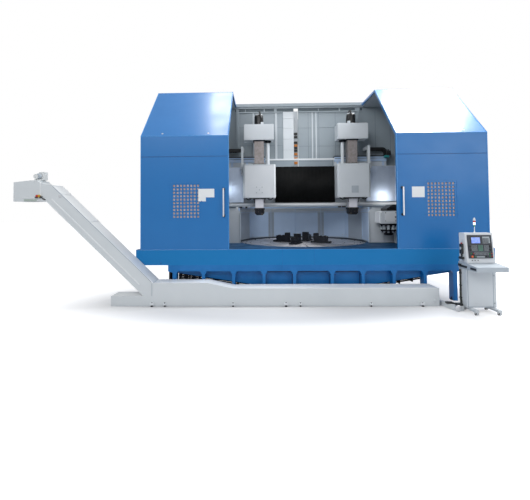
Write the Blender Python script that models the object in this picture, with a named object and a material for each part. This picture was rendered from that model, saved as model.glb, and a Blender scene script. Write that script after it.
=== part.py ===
"""Large double-column CNC vertical turning lathe, modelled at its real size.

Metres, +Z up. The origin lies on the floor under the axis of the rotary table.
+X runs to the operator's right and +Y into the depth of the machine.
"""
import math

import bmesh
import bpy
from mathutils import Matrix, Vector

# Fits between pieces
SEAT_GAP = 0.0003
CUT_OVERRUN = 0.10
WELD_OVERLAP = 0.05
RUNNING_GAP = 0.0005
SLIDE_CLEARANCE = 0.010

# Machine base
CORE_HALF_WIDTH = 1.45
BASE_FRONT_Y = -2.30
BASE_BACK_Y = 2.50
BASE_HEIGHT = 0.82
BAND_HALF_WIDTH = 3.35
BAND_HEIGHT = 0.14
CORE_SLOPE_DROP = 0.32
OUTRIGGER_X = 3.20
OUTRIGGER_WIDTH = 0.09
OUTRIGGER_DEPTH = 0.20
OUTRIGGER_SLOPE_DROP = 0.06
RIB_PITCH = 0.70
CENTRE_BAY_WIDTH = 0.86
RIBS_EACH_SIDE = 4
RIB_WIDTH = 0.07
POCKET_DEPTH = 0.14
POCKET_CHAMFER_WIDTH = 0.045
POCKET_CHAMFER_HEIGHT = 0.08
PEDESTAL_RADIUS = 1.20

# Deck over the base
DECK_HALF_WIDTH = 4.10
DECK_FRONT_Y = -2.30
DECK_BACK_Y = 0.60
DECK_THICKNESS = 0.36
DECK_END_CHAMFER_X = 0.08
DECK_END_CHAMFER_Z = 0.10
REAR_DECK_MARGIN = 0.12

# Rotary table and chuck jaws
TABLE_RADIUS = 1.80
TABLE_TOP_DROP = 0.04
TABLE_THICKNESS = 0.24
TABLE_RIM_CHAMFER = 0.015
TABLE_RIM_GAP = 0.02
TABLE_SEGMENTS = 72
TEE_SLOT_COUNT = 16
TEE_SLOT_NECK = 0.036
TEE_SLOT_HEAD = 0.064
TEE_SLOT_NECK_DEPTH = 0.04
TEE_SLOT_HEAD_DEPTH = 0.035
TEE_SLOT_INNER_RADIUS = 0.42
CENTRE_BORE_RADIUS = 0.16
CENTRE_BORE_DEPTH = 0.05
JAW_COUNT = 4
JAW_WIDTH = 0.18
JAW_INNER_RADIUS = 0.37
JAW_LENGTH = 0.39
JAW_HEIGHT = 0.27
JAW_LOW_STEP_HEIGHT = 0.185
JAW_TOP_LENGTH = 0.12
JAW_FIRST_ANGLE_DEG = -22.5

# Columns and crown
COLUMN_SIDE_CLEARANCE = 0.08
COLUMN_WIDTH = 0.96
COLUMN_FRONT_Y = 1.05
COLUMN_DEPTH = 1.40
COLUMN_TOP_Z = 5.20
COLUMN_TAPER_Z = 2.60
COLUMN_TAPER = 0.35
CROWN_DEPTH = 0.85
CROWN_HEIGHT = 0.75
CROWN_SETBACK = 0.10
CROWN_TOP_DROP = 0.12

# Crossrail
CROSSRAIL_FRONT_Y = 0.30
CROSSRAIL_BOTTOM_Z = 2.295
CROSSRAIL_TOP_Z = 3.41
GUIDE_STAND_OFF = 0.09
GUIDE_HEIGHT = 0.12
LOWER_GUIDE_Z = 2.60
UPPER_GUIDE_Z = 3.24
RAIL_SHELF_THICKNESS = 0.10
RAIL_SHELF_FRONT_Y = 0.20

# Heads: saddle, ram and drive box
LEFT_HEAD_SETBACK = 0.57
RIGHT_HEAD_SETBACK = 0.31
SADDLE_WIDTH = 0.94
SADDLE_FRONT_Y = -0.29
SADDLE_BOTTOM_Z = 2.44
SADDLE_TOP_Z = 3.41
SADDLE_EDGE_CHAMFER = 0.05
RAM_SIZE = 0.28
RAM_BOTTOM_Z = 2.15
RAM_NOSE_SIZE = 0.24
RAM_NOSE_TOP_Z = 2.40
TOOL_HOLDER_SIZE = 0.27
TOOL_HOLDER_HEIGHT = 0.21
TOOL_HOLDER_TAPER = 0.05
DRIVE_BOX_WIDTH = 0.87
DRIVE_BOX_BOTTOM_Z = 4.14
DRIVE_BOX_HEIGHT = 0.45
DRIVE_BOX_FRONT_Y = -0.22
DRIVE_BOX_BACK_Y = 0.20
BALANCE_ROD_RADIUS = 0.05
BALANCE_ROD_OFFSET_X = 0.26
BALANCE_ROD_Y = 0.0
BALANCE_ROD_REACH = 0.25
MOTOR_RADIUS = 0.11
MOTOR_HEIGHT = 0.34

# Covers over the guide rails
BELLOWS_PLEAT_PITCH = 0.05
BELLOWS_PLEAT_DEPTH = 0.06
BELLOWS_BACK_THICKNESS = 0.015
COVER_SHEET = 0.012
FIXED_COVER_LENGTH = 0.86
SLIDING_COVER_LENGTH = 0.90
COVER_TOP_INSET = 0.02

# Cable chains on the crossrail
CHAIN_FRONT_Y = 0.31
CHAIN_WIDTH = 0.14
CHAIN_HEIGHT = 0.09
CHAIN_BEND_RADIUS = 0.145
CHAIN_BEND_X = 2.50
CHAIN_ANCHOR_X = 1.05
CHAIN_BEND_SEGMENTS = 10
CHAIN_TRAY_HEIGHT = 0.225
CHAIN_TRAY_OVERHANG = 0.12
CHAIN_ARM_THICKNESS = 0.06
CHAIN_ARM_WIDTH = 0.12
CHAIN_ARM_ROOT = 0.02

# Guards inside the enclosure
GUARD_TOP_GAP = 0.045
GUARD_SHEET = 0.03
GUARD_PANEL_Y = -0.66
GUARD_PANEL_CHAMFER = 0.12
REAR_GUARD_CLEARANCE = 0.03
REAR_GUARD_START_DEG = -18.0
REAR_GUARD_PANELS = 8

# Sliding hoods and the fixed housings inside them
HOOD_INNER_X = 1.93
HOOD_OUTER_X = 4.00
HOOD_FRONT_Y = -2.30
HOOD_SHOULDER_Z = 3.83
HOOD_RIDGE_Y = -0.85
HOOD_TOP_Z = 5.34
HOOD_BACK_Y = 0.40
HOOD_SHEET = 0.03
HOOD_LIP_WIDTH = 0.03
HOOD_LIP_DEPTH = 0.06
HOUSING_CLEARANCE = 0.03
HOUSING_SHEET = 0.02
SIDE_WALL_THICKNESS = 0.05
SIDE_WALL_INSET = 0.02
VENT_CENTRE_X = 2.93
VENT_BOTTOM_Z = 1.87
VENT_COLUMNS = 8
VENT_ROWS = 10
VENT_PITCH = 0.08
VENT_HOLE = 0.05
VENT_BORDER = 0.03
VENT_PLATE_THICKNESS = 0.02
HANDLE_X = 2.05
HANDLE_BOTTOM_Z = 1.94
HANDLE_LENGTH = 0.65
HANDLE_BAR = 0.03
HANDLE_REACH = 0.08

# Upper screens behind the heads
SCREEN_Y = 0.50
SCREEN_THICKNESS = 0.05
SCREEN_GAP_LEFT_X = -0.15
SCREEN_GAP_RIGHT_X = -0.01
SCREEN_TOP_Z = 5.30
TOP_RAIL_FRONT_Y = 0.42
TOP_RAIL_DEPTH = 0.14
TOP_RAIL_HEIGHT = 0.09

# Tool magazine
MAGAZINE_X = 2.22
MAGAZINE_Y = -1.00
MAGAZINE_WIDTH = 0.62
MAGAZINE_DEPTH = 0.46
MAGAZINE_STAND_HEIGHT = 0.53
MAGAZINE_BODY_HEIGHT = 0.33
MAGAZINE_HOOD_HEIGHT = 0.16
MAGAZINE_POST_WIDTH = 0.12
MAGAZINE_NOSE_SLOPE = 0.06
CAROUSEL_RADIUS = 0.21
CAROUSEL_THICKNESS = 0.08
CAROUSEL_TOOLS = 10
TOOL_SHANK_RADIUS = 0.032
TOOL_SHANK_LENGTH = 0.16

# Chip conveyor
CONVEYOR_BACK_Y = -2.32
CONVEYOR_WIDTH = 0.44
TROUGH_RIGHT_X = 2.61
TROUGH_HEIGHT = 0.38
HOUSING_RISE_X = -1.80
HOUSING_RIGHT_X = -2.38
HOUSING_TOP_Z = 0.50
INCLINE_FOOT_X = -3.56
INCLINE_SHOULDER_X = -5.83
INCLINE_SHOULDER_Z = 2.674
INCLINE_THICKNESS = 0.35
SUMP_LEFT_X = -4.49
SUMP_HEIGHT = 0.22
DISCHARGE_LEFT_X = -6.69
DISCHARGE_TOP_Z = 2.78
DISCHARGE_BOTTOM_Z = 2.31
DISCHARGE_CROWN_LEFT_X = -6.30
DISCHARGE_CROWN_RIGHT_X = -6.15
DISCHARGE_NOSE_DROP = 0.04
CHUTE_LEFT_X = -6.50
CHUTE_RIGHT_X = -6.18
CHUTE_DEPTH = 0.10
CHUTE_WALL = 0.04
SHOULDER_SEGMENTS = 5
GEARBOX_X = -6.15
GEARBOX_WIDTH = 0.12
GEARBOX_HEIGHT = 0.20
GEARBOX_DEPTH = 0.20
GEARMOTOR_LENGTH = 0.30
GEARMOTOR_RADIUS = 0.055
GEARMOTOR_PLATE_THICKNESS = 0.04

# Operator console
CONSOLE_X = 3.20
CONSOLE_Y = -3.12
CONSOLE_WIDTH = 0.58
CONSOLE_DEPTH = 0.26
CASTER_HEIGHT = 0.10
CASTER_SIZE = 0.07
RUNNER_REACH = 0.22
RUNNER_HEIGHT = 0.045
CABINET_HEIGHT = 0.76
DESK_WIDTH = 0.60
DESK_DEPTH = 0.63
DESK_THICKNESS = 0.09
DESK_RISE = 0.04
CONSOLE_TOP_Z = 1.58
CONSOLE_HEAD_WIDTH = 0.55
CONSOLE_HEAD_DEPTH = 0.28
CONSOLE_HEAD_LEAN = 0.08
PANEL_THICKNESS = 0.02
PANEL_BORDER = 0.04
PANEL_FOOT = 0.09
LAMP_RADIUS = 0.025
LAMP_HEIGHT = 0.31
DUCT_HEIGHT = 0.10
DUCT_WIDTH = 0.16

# Heights and places that follow from the sizes above
DECK_BOTTOM_Z = BASE_HEIGHT + SEAT_GAP
DECK_TOP_Z = BASE_HEIGHT + DECK_THICKNESS
TABLE_TOP_Z = DECK_TOP_Z - TABLE_TOP_DROP
TABLE_BOTTOM_Z = TABLE_TOP_Z - TABLE_THICKNESS
REAR_GUARD_APOTHEM = TABLE_RADIUS + REAR_GUARD_CLEARANCE
REAR_GUARD_START = math.radians(REAR_GUARD_START_DEG)
REAR_GUARD_STEP = (math.pi - 2 * REAR_GUARD_START) / REAR_GUARD_PANELS
REAR_GUARD_HALF = (REAR_GUARD_APOTHEM + GUARD_SHEET) / math.cos(REAR_GUARD_STEP / 2)
COLUMN_INNER_X = REAR_GUARD_HALF + COLUMN_SIDE_CLEARANCE
COLUMN_OUTER_X = COLUMN_INNER_X + COLUMN_WIDTH
LEFT_HEAD_X = LEFT_HEAD_SETBACK - TABLE_RADIUS
RIGHT_HEAD_X = TABLE_RADIUS - RIGHT_HEAD_SETBACK
SADDLE_HALF = SADDLE_WIDTH / 2
GUIDE_FRONT_Y = CROSSRAIL_FRONT_Y - GUIDE_STAND_OFF
MAGAZINE_BOTTOM_Z = DECK_TOP_Z + SEAT_GAP
CONVEYOR_FRONT_Y = CONVEYOR_BACK_Y - CONVEYOR_WIDTH
DESK_BOTTOM_Z = CASTER_HEIGHT + CABINET_HEIGHT + SEAT_GAP
HEAD_BOTTOM_Z = DESK_BOTTOM_Z + DESK_THICKNESS + DESK_RISE + SEAT_GAP
BELLOWS_SPLIT_X = (LEFT_HEAD_X + RIGHT_HEAD_X) / 2


def clear_scene():
    for item in list(bpy.data.objects):
        bpy.data.objects.remove(item, do_unlink=True)


def linear(channel):
    if channel <= 0.04045:
        return channel / 12.92
    return ((channel + 0.055) / 1.055) ** 2.4


def finish(name, hex_colour, roughness, metallic):
    found = bpy.data.materials.get(name)
    if found:
        return found
    made = bpy.data.materials.new(name)
    made.use_nodes = True
    shader = made.node_tree.nodes["Principled BSDF"]
    values = [int(hex_colour[i:i + 2], 16) / 255 for i in (0, 2, 4)]
    colour = [linear(value) for value in values] + [1.0]
    shader.inputs["Base Color"].default_value = colour
    shader.inputs["Roughness"].default_value = roughness
    shader.inputs["Metallic"].default_value = metallic
    made.diffuse_color = colour
    return made


def blue_paint():
    return finish("blue_enamel", "2E72B2", 0.40, 0.0)


def grey_paint():
    return finish("light_grey_enamel", "C6CCCF", 0.45, 0.0)


def guard_paint():
    return finish("grey_guard_enamel", "9AA3A8", 0.50, 0.0)


def black_steel():
    return finish("blackened_steel", "17191B", 0.50, 0.6)


def bright_steel():
    return finish("ground_steel", "B8BCBF", 0.30, 1.0)


def table_iron():
    return finish("turned_cast_iron", "A9A3A2", 0.40, 0.8)


def black_fabric():
    return finish("black_bellows_cloth", "0F1315", 0.85, 0.0)


def black_plastic():
    return finish("black_plastic", "1B1D1F", 0.50, 0.0)


def screen_plastic():
    return finish("panel_plastic", "23272A", 0.35, 0.0)


def amber_plastic():
    return finish("amber_lamp_plastic", "C23A22", 0.30, 0.0)


def object_from(name, mesh_builder, material):
    bmesh.ops.recalc_face_normals(mesh_builder, faces=mesh_builder.faces[:])
    mesh = bpy.data.meshes.new(name)
    mesh_builder.to_mesh(mesh)
    mesh_builder.free()
    mesh.materials.append(material)
    made = bpy.data.objects.new(name, mesh)
    bpy.context.scene.collection.objects.link(made)
    return made


def prism(name, outline, low, high, axis, material):
    """Extrude an outline along an axis: (y, z) for X, (x, z) for Y, (x, y) for Z."""
    builder = bmesh.new()
    order = {"X": (2, 0, 1), "Y": (0, 2, 1), "Z": (0, 1, 2)}[axis]
    corners = []
    for first, second in outline:
        place = (first, second, low)
        corners.append(builder.verts.new([place[i] for i in order]))
    base = builder.faces.new(corners)
    swept = bmesh.ops.extrude_face_region(builder, geom=[base])
    moved = [item for item in swept["geom"] if isinstance(item, bmesh.types.BMVert)]
    reach = (0.0, 0.0, high - low)
    bmesh.ops.translate(builder, verts=moved, vec=[reach[i] for i in order])
    return object_from(name, builder, material)


def block(name, x_span, y_span, z_span, material):
    outline = rectangle(x_span, y_span)
    return prism(name, outline, z_span[0], z_span[1], "Z", material)


def rectangle(first_span, second_span):
    low_first, high_first = sorted(first_span)
    low_second, high_second = sorted(second_span)
    return [(low_first, low_second), (high_first, low_second),
            (high_first, high_second), (low_first, high_second)]


def turned(name, profile, segments, centre, axis, material):
    """Spin a (radius, height) profile that starts and ends on the axis."""
    builder = bmesh.new()
    points = [builder.verts.new((radius, 0.0, height)) for radius, height in profile]
    edges = [builder.edges.new(pair) for pair in zip(points, points[1:])]
    bmesh.ops.spin(builder, geom=points + edges, cent=(0, 0, 0), axis=(0, 0, 1),
                   angle=2 * math.pi, steps=segments, use_merge=True)
    bmesh.ops.remove_doubles(builder, verts=builder.verts[:], dist=0.00001)
    turn = {"X": Matrix.Rotation(math.pi / 2, 4, "Y"),
            "Y": Matrix.Rotation(-math.pi / 2, 4, "X"),
            "Z": Matrix.Identity(4)}[axis]
    builder.transform(Matrix.Translation(centre) @ turn)
    made = object_from(name, builder, material)
    made.data.shade_smooth()
    made.data.set_sharp_from_angle(angle=math.radians(35))
    return made


def cylinder(name, radius, low, high, segments, centre, axis, material):
    profile = [(0.0, low), (radius, low), (radius, high), (0.0, high)]
    return turned(name, profile, segments, centre, axis, material)


def combine(target, tools, operation):
    for tool in tools:
        step = target.modifiers.new(tool.name, "BOOLEAN")
        step.operation = operation
        step.object = tool
        tool.hide_render = True
        tool.display_type = "WIRE"


def cut(target, tools):
    combine(target, tools, "DIFFERENCE")


def weld(target, tools):
    combine(target, tools, "UNION")


def mirrored(span, side):
    return sorted((span[0] * side, span[1] * side))


def joint_empty(name, place):
    empty = bpy.data.objects.new(name, None)
    empty.location = place
    bpy.context.scene.collection.objects.link(empty)
    return empty


def carry(empty, pieces):
    for piece in pieces:
        piece.parent = empty
        piece.matrix_parent_inverse = Matrix.Translation(-Vector(empty.location))


def make_base():
    band_bottom = BASE_HEIGHT - BAND_HEIGHT
    inner = OUTRIGGER_X - OUTRIGGER_WIDTH / 2
    right_side = [(CORE_HALF_WIDTH, 0.0), (CORE_HALF_WIDTH, band_bottom - CORE_SLOPE_DROP),
                  (inner, band_bottom - OUTRIGGER_SLOPE_DROP), (BAND_HALF_WIDTH, band_bottom),
                  (BAND_HALF_WIDTH, BASE_HEIGHT)]
    left_side = [(-x, z) for x, z in reversed(right_side)]
    base = prism("machine_base", right_side + left_side, BASE_FRONT_Y, BASE_BACK_Y, "Y",
                 blue_paint())
    ribs = [CENTRE_BAY_WIDTH / 2 + RIB_PITCH * number for number in range(RIBS_EACH_SIDE)]
    edges = [0.0] + ribs + [OUTRIGGER_X]
    bays = [(-ribs[0], ribs[0])]
    for near, far in zip(edges[1:], edges[2:]):
        bays += [(near, far), (-far, -near)]
    pockets = [make_pocket(number, bay, band_bottom) for number, bay in enumerate(bays)]
    cut(base, pockets)
    legs = []
    middle = (BASE_FRONT_Y + BASE_BACK_Y) / 2
    posts = [(x, RIB_WIDTH) for x in ribs if x > CORE_HALF_WIDTH]
    posts.append((OUTRIGGER_X, OUTRIGGER_WIDTH))
    for side in (-1, 1):
        for x, width in posts:
            span = mirrored((x - width / 2, x + width / 2), side)
            for row in (BASE_FRONT_Y, middle, BASE_BACK_Y - OUTRIGGER_DEPTH):
                legs.append(block(f"leg_{len(legs)}", span, (row, row + OUTRIGGER_DEPTH),
                                  (0.0, band_bottom + BAND_HEIGHT / 2), blue_paint()))
    pedestal = cylinder("bearing_pedestal", PEDESTAL_RADIUS, BASE_HEIGHT / 2,
                        TABLE_BOTTOM_Z - SEAT_GAP, 48, (0, 0, 0), "Z", blue_paint())
    weld(base, legs + [pedestal])
    return base


def make_pocket(number, bay, top):
    """A recess between two ribs, with its upper corners cut off, open towards the floor."""
    left = bay[0] + RIB_WIDTH / 2
    right = bay[1] - RIB_WIDTH / 2
    shoulder = top - POCKET_CHAMFER_HEIGHT
    outline = [(left, -top), (right, -top), (right, shoulder),
               (right - POCKET_CHAMFER_WIDTH, top), (left + POCKET_CHAMFER_WIDTH, top),
               (left, shoulder)]
    return prism(f"pocket_{number}", outline, BASE_FRONT_Y - POCKET_DEPTH,
                 BASE_FRONT_Y + POCKET_DEPTH, "Y", blue_paint())


def make_deck():
    chamfer_x = DECK_HALF_WIDTH - DECK_END_CHAMFER_X
    chamfer_z = DECK_BOTTOM_Z + DECK_END_CHAMFER_Z
    right_side = [(chamfer_x, DECK_BOTTOM_Z), (DECK_HALF_WIDTH, chamfer_z),
                  (DECK_HALF_WIDTH, DECK_TOP_Z)]
    left_side = [(-x, z) for x, z in reversed(right_side)]
    deck = prism("deck", right_side + left_side, DECK_FRONT_Y, DECK_BACK_Y, "Y", blue_paint())
    half = REAR_GUARD_HALF + SEAT_GAP
    rear = block("rear_deck", (-half, half), (0.0, half + REAR_DECK_MARGIN / 2),
                 (DECK_BOTTOM_Z, DECK_TOP_Z), blue_paint())
    weld(deck, [rear])
    hole = cylinder("table_hole", TABLE_RADIUS + TABLE_RIM_GAP, 0.0, DECK_TOP_Z * 2,
                    TABLE_SEGMENTS, (0, 0, 0), "Z", blue_paint())
    cut(deck, [hole])
    return deck


def make_table():
    rim = TABLE_RADIUS - TABLE_RIM_CHAMFER
    profile = [(0.0, TABLE_BOTTOM_Z), (rim, TABLE_BOTTOM_Z),
               (TABLE_RADIUS, TABLE_BOTTOM_Z + TABLE_RIM_CHAMFER),
               (TABLE_RADIUS, TABLE_TOP_Z - TABLE_RIM_CHAMFER), (rim, TABLE_TOP_Z),
               (CENTRE_BORE_RADIUS, TABLE_TOP_Z),
               (CENTRE_BORE_RADIUS, TABLE_TOP_Z - CENTRE_BORE_DEPTH),
               (0.0, TABLE_TOP_Z - CENTRE_BORE_DEPTH)]
    table = turned("rotary_table", profile, TABLE_SEGMENTS, (0, 0, 0), "Z", table_iron())
    neck_bottom = TABLE_TOP_Z - TEE_SLOT_NECK_DEPTH
    head_bottom = neck_bottom - TEE_SLOT_HEAD_DEPTH
    above = TABLE_TOP_Z + TEE_SLOT_NECK_DEPTH
    half_neck = TEE_SLOT_NECK / 2
    half_head = TEE_SLOT_HEAD / 2
    section = [(-half_neck, above), (-half_neck, neck_bottom), (-half_head, neck_bottom),
               (-half_head, head_bottom), (half_head, head_bottom),
               (half_head, neck_bottom), (half_neck, neck_bottom), (half_neck, above)]
    slots = []
    for number in range(TEE_SLOT_COUNT):
        slot = prism(f"tee_slot_{number}", section, TEE_SLOT_INNER_RADIUS,
                     TABLE_RADIUS + TABLE_RIM_GAP, "X", table_iron())
        slot.data.transform(Matrix.Rotation(2 * math.pi * number / TEE_SLOT_COUNT, 4, "Z"))
        slots.append(slot)
    cut(table, slots)
    return table


def make_jaws():
    bottom = TABLE_TOP_Z + SEAT_GAP
    low = bottom + JAW_LOW_STEP_HEIGHT
    top = bottom + JAW_HEIGHT
    step_x = JAW_INNER_RADIUS + JAW_TOP_LENGTH
    outer = JAW_INNER_RADIUS + JAW_LENGTH
    outline = [(JAW_INNER_RADIUS, bottom), (outer, bottom), (outer, low), (step_x, low),
               (step_x, top), (JAW_INNER_RADIUS, top)]
    jaws = []
    for number in range(JAW_COUNT):
        jaw = prism(f"chuck_jaw_{number + 1}", outline, -JAW_WIDTH / 2, JAW_WIDTH / 2, "Y",
                    black_steel())
        angle = math.radians(JAW_FIRST_ANGLE_DEG) + 2 * math.pi * number / JAW_COUNT
        jaw.data.transform(Matrix.Rotation(angle, 4, "Z"))
        jaws.append(jaw)
    return jaws


def make_columns():
    back = COLUMN_FRONT_Y + COLUMN_DEPTH
    foot = BASE_HEIGHT + SEAT_GAP
    outline = [(COLUMN_FRONT_Y, foot), (back, foot), (back, COLUMN_TAPER_Z),
               (back - COLUMN_TAPER, COLUMN_TOP_Z), (COLUMN_FRONT_Y, COLUMN_TOP_Z)]
    for side, name in ((-1, "left_column"), (1, "right_column")):
        span = mirrored((COLUMN_INNER_X, COLUMN_OUTER_X), side)
        prism(name, outline, span[0], span[1], "X", blue_paint())
    reach = COLUMN_INNER_X - SEAT_GAP
    front = COLUMN_FRONT_Y + CROWN_SETBACK
    top = COLUMN_TOP_Z - CROWN_TOP_DROP
    block("crown_beam", (-reach, reach), (front, front + CROWN_DEPTH),
          (top - CROWN_HEIGHT, top), blue_paint())


def make_crossrail():
    back = COLUMN_FRONT_Y - SEAT_GAP
    half = GUIDE_HEIGHT / 2
    outline = [(back, CROSSRAIL_BOTTOM_Z), (back, CROSSRAIL_TOP_Z),
               (CROSSRAIL_FRONT_Y, CROSSRAIL_TOP_Z)]
    for height in (UPPER_GUIDE_Z, LOWER_GUIDE_Z):
        outline += [(CROSSRAIL_FRONT_Y, height + half), (GUIDE_FRONT_Y, height + half),
                    (GUIDE_FRONT_Y, height - half), (CROSSRAIL_FRONT_Y, height - half)]
    outline.append((CROSSRAIL_FRONT_Y, CROSSRAIL_BOTTOM_Z))
    crossrail = prism("crossrail", outline, -COLUMN_OUTER_X, COLUMN_OUTER_X, "X", grey_paint())
    trays = []
    for side in (-1, 1):
        span = mirrored((CHAIN_ANCHOR_X, CHAIN_BEND_X + CHAIN_TRAY_OVERHANG), side)
        trays.append(block(f"chain_tray_{side}", span,
                           (CHAIN_FRONT_Y, CHAIN_FRONT_Y + CHAIN_WIDTH),
                           (CROSSRAIL_TOP_Z - CHAIN_TRAY_HEIGHT,
                            CROSSRAIL_TOP_Z + CHAIN_TRAY_HEIGHT), grey_paint()))
    weld(crossrail, trays)
    top = CROSSRAIL_BOTTOM_Z - SEAT_GAP
    block("rail_shelf", (-COLUMN_OUTER_X, COLUMN_OUTER_X), (RAIL_SHELF_FRONT_Y, back),
          (top - RAIL_SHELF_THICKNESS, top), bright_steel())


def make_head(prefix, head_x, outward):
    """One head; outward is -1 on the left head and 1 on the right one."""
    carriage = joint_empty(f"{prefix}_saddle_slide", (head_x, GUIDE_FRONT_Y, UPPER_GUIDE_Z))
    quill = joint_empty(f"{prefix}_ram_slide", (head_x, 0.0, RAM_BOTTOM_Z))
    back = CROSSRAIL_FRONT_Y - SLIDE_CLEARANCE
    groove = GUIDE_FRONT_Y - RUNNING_GAP
    half = GUIDE_HEIGHT / 2 + RUNNING_GAP
    outline = [(SADDLE_FRONT_Y, SADDLE_TOP_Z), (SADDLE_FRONT_Y, SADDLE_BOTTOM_Z),
               (back, SADDLE_BOTTOM_Z)]
    for height in (LOWER_GUIDE_Z, UPPER_GUIDE_Z):
        outline += [(back, height - half), (groove, height - half),
                    (groove, height + half), (back, height + half)]
    outline.append((back, SADDLE_TOP_Z))
    saddle = prism(f"{prefix}_saddle", outline, head_x - SADDLE_HALF, head_x + SADDLE_HALF,
                   "X", grey_paint())
    ram_half = RAM_SIZE / 2
    bore_half = ram_half + RUNNING_GAP
    bore = block(f"{prefix}_ram_bore", (head_x - bore_half, head_x + bore_half),
                 (-bore_half, bore_half), (SADDLE_BOTTOM_Z - CUT_OVERRUN, SADDLE_TOP_Z + CUT_OVERRUN),
                 grey_paint())
    rod_x = head_x - outward * BALANCE_ROD_OFFSET_X
    rod_bottom = SADDLE_TOP_Z - BALANCE_ROD_REACH
    rod_bore = cylinder(f"{prefix}_rod_bore", BALANCE_ROD_RADIUS + RUNNING_GAP,
                        SADDLE_BOTTOM_Z - CUT_OVERRUN, SADDLE_TOP_Z + CUT_OVERRUN, 24,
                        (rod_x, BALANCE_ROD_Y, 0), "Z", grey_paint())
    edges = []
    for side in (-1, 1):
        edge_x = head_x + side * SADDLE_HALF
        slope = [(edge_x - side * SADDLE_EDGE_CHAMFER, SADDLE_FRONT_Y),
                 (edge_x, SADDLE_FRONT_Y + SADDLE_EDGE_CHAMFER),
                 (edge_x + side * CUT_OVERRUN, SADDLE_FRONT_Y + SADDLE_EDGE_CHAMFER),
                 (edge_x + side * CUT_OVERRUN, SADDLE_FRONT_Y - CUT_OVERRUN),
                 (edge_x - side * SADDLE_EDGE_CHAMFER, SADDLE_FRONT_Y - CUT_OVERRUN)]
        edges.append(prism(f"{prefix}_saddle_edge", slope, SADDLE_BOTTOM_Z - CUT_OVERRUN,
                           SADDLE_TOP_Z + CUT_OVERRUN, "Z", grey_paint()))
    cut(saddle, [bore, rod_bore] + edges)

    arm_inner = head_x + outward * (SADDLE_HALF - CHAIN_ARM_ROOT)
    arm_outer = head_x + outward * (SADDLE_HALF + CHAIN_ARM_THICKNESS)
    arm_span = sorted((arm_inner, arm_outer))
    arm_low = UPPER_GUIDE_Z - GUIDE_HEIGHT
    chain_low = chain_upper_z()
    chain_back = CHAIN_FRONT_Y + CHAIN_WIDTH
    arm_half = CHAIN_ARM_WIDTH / 2
    arm_outline = [(-arm_half, arm_low), (arm_half, arm_low), (arm_half, chain_low),
                   (chain_back, chain_low), (chain_back, chain_low + CHAIN_HEIGHT),
                   (-arm_half, chain_low + CHAIN_HEIGHT)]
    arm = prism(f"{prefix}_chain_arm", arm_outline, arm_span[0], arm_span[1], "X",
                grey_paint())
    head_room = block(f"{prefix}_arm_relief", (arm_inner - CHAIN_ARM_ROOT, arm_inner + CHAIN_ARM_ROOT),
                      (-arm_half, chain_back), (SADDLE_TOP_Z, chain_low + 2 * CHAIN_HEIGHT),
                      grey_paint())

    ram = block(f"{prefix}_ram", (head_x - ram_half, head_x + ram_half),
                (-ram_half, ram_half), (RAM_NOSE_TOP_Z, DRIVE_BOX_BOTTOM_Z - SEAT_GAP),
                bright_steel())
    nose_half = RAM_NOSE_SIZE / 2
    nose = block(f"{prefix}_ram_nose", (head_x - nose_half, head_x + nose_half),
                 (-nose_half, nose_half), (RAM_BOTTOM_Z, RAM_NOSE_TOP_Z + WELD_OVERLAP),
                 bright_steel())
    weld(ram, [nose])
    holder_top = RAM_BOTTOM_Z - SEAT_GAP
    holder_bottom = holder_top - TOOL_HOLDER_HEIGHT
    holder_half = TOOL_HOLDER_SIZE / 2
    tip_half = holder_half - TOOL_HOLDER_TAPER
    holder_outline = [(head_x - tip_half, holder_bottom), (head_x + tip_half, holder_bottom),
                      (head_x + holder_half, holder_bottom + TOOL_HOLDER_TAPER),
                      (head_x + holder_half, holder_top), (head_x - holder_half, holder_top),
                      (head_x - holder_half, holder_bottom + TOOL_HOLDER_TAPER)]
    holder = prism(f"{prefix}_tool_holder", holder_outline, -holder_half, holder_half, "Y",
                   black_steel())
    box_half = DRIVE_BOX_WIDTH / 2
    box_top = DRIVE_BOX_BOTTOM_Z + DRIVE_BOX_HEIGHT
    drive = block(f"{prefix}_drive_box", (head_x - box_half, head_x + box_half),
                  (DRIVE_BOX_FRONT_Y, DRIVE_BOX_BACK_Y), (DRIVE_BOX_BOTTOM_Z, box_top),
                  grey_paint())
    rod = cylinder(f"{prefix}_balance_rod", BALANCE_ROD_RADIUS, rod_bottom,
                   DRIVE_BOX_BOTTOM_Z + WELD_OVERLAP, 24, (rod_x, BALANCE_ROD_Y, 0), "Z",
                   bright_steel())
    motor = cylinder(f"{prefix}_feed_motor", MOTOR_RADIUS, box_top - WELD_OVERLAP,
                     box_top + MOTOR_HEIGHT, 20, (head_x, 0, 0), "Z", black_plastic())
    weld(drive, [rod, motor])
    cut(arm, [head_room])
    weld(saddle, [arm])
    carry(carriage, [saddle])
    carry(quill, [ram, holder, drive])
    return carriage


def chain_upper_z():
    return CROSSRAIL_TOP_Z + CHAIN_TRAY_HEIGHT + 2 * CHAIN_BEND_RADIUS - CHAIN_HEIGHT / 2


def make_bellows(prefix, saddle_edge, outward, carriage):
    far = saddle_edge - outward * SEAT_GAP
    near = BELLOWS_SPLIT_X + outward * SEAT_GAP
    back = GUIDE_FRONT_Y - SEAT_GAP
    valley = back - BELLOWS_BACK_THICKNESS
    ridge = valley - BELLOWS_PLEAT_DEPTH
    pleats = max(2, round(abs(far - near) / BELLOWS_PLEAT_PITCH))
    step = (far - near) / pleats
    outline = [(far, back), (near, back)]
    for pleat in range(pleats):
        outline.append((near + step * pleat, valley))
        outline.append((near + step * (pleat + 0.5), ridge))
    outline.append((far, valley))
    bellows = prism(f"{prefix}_bellows", outline, CROSSRAIL_BOTTOM_Z + COVER_TOP_INSET,
                    CROSSRAIL_TOP_Z - COVER_TOP_INSET, "Z", black_fabric())
    carry(carriage, [bellows])


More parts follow.
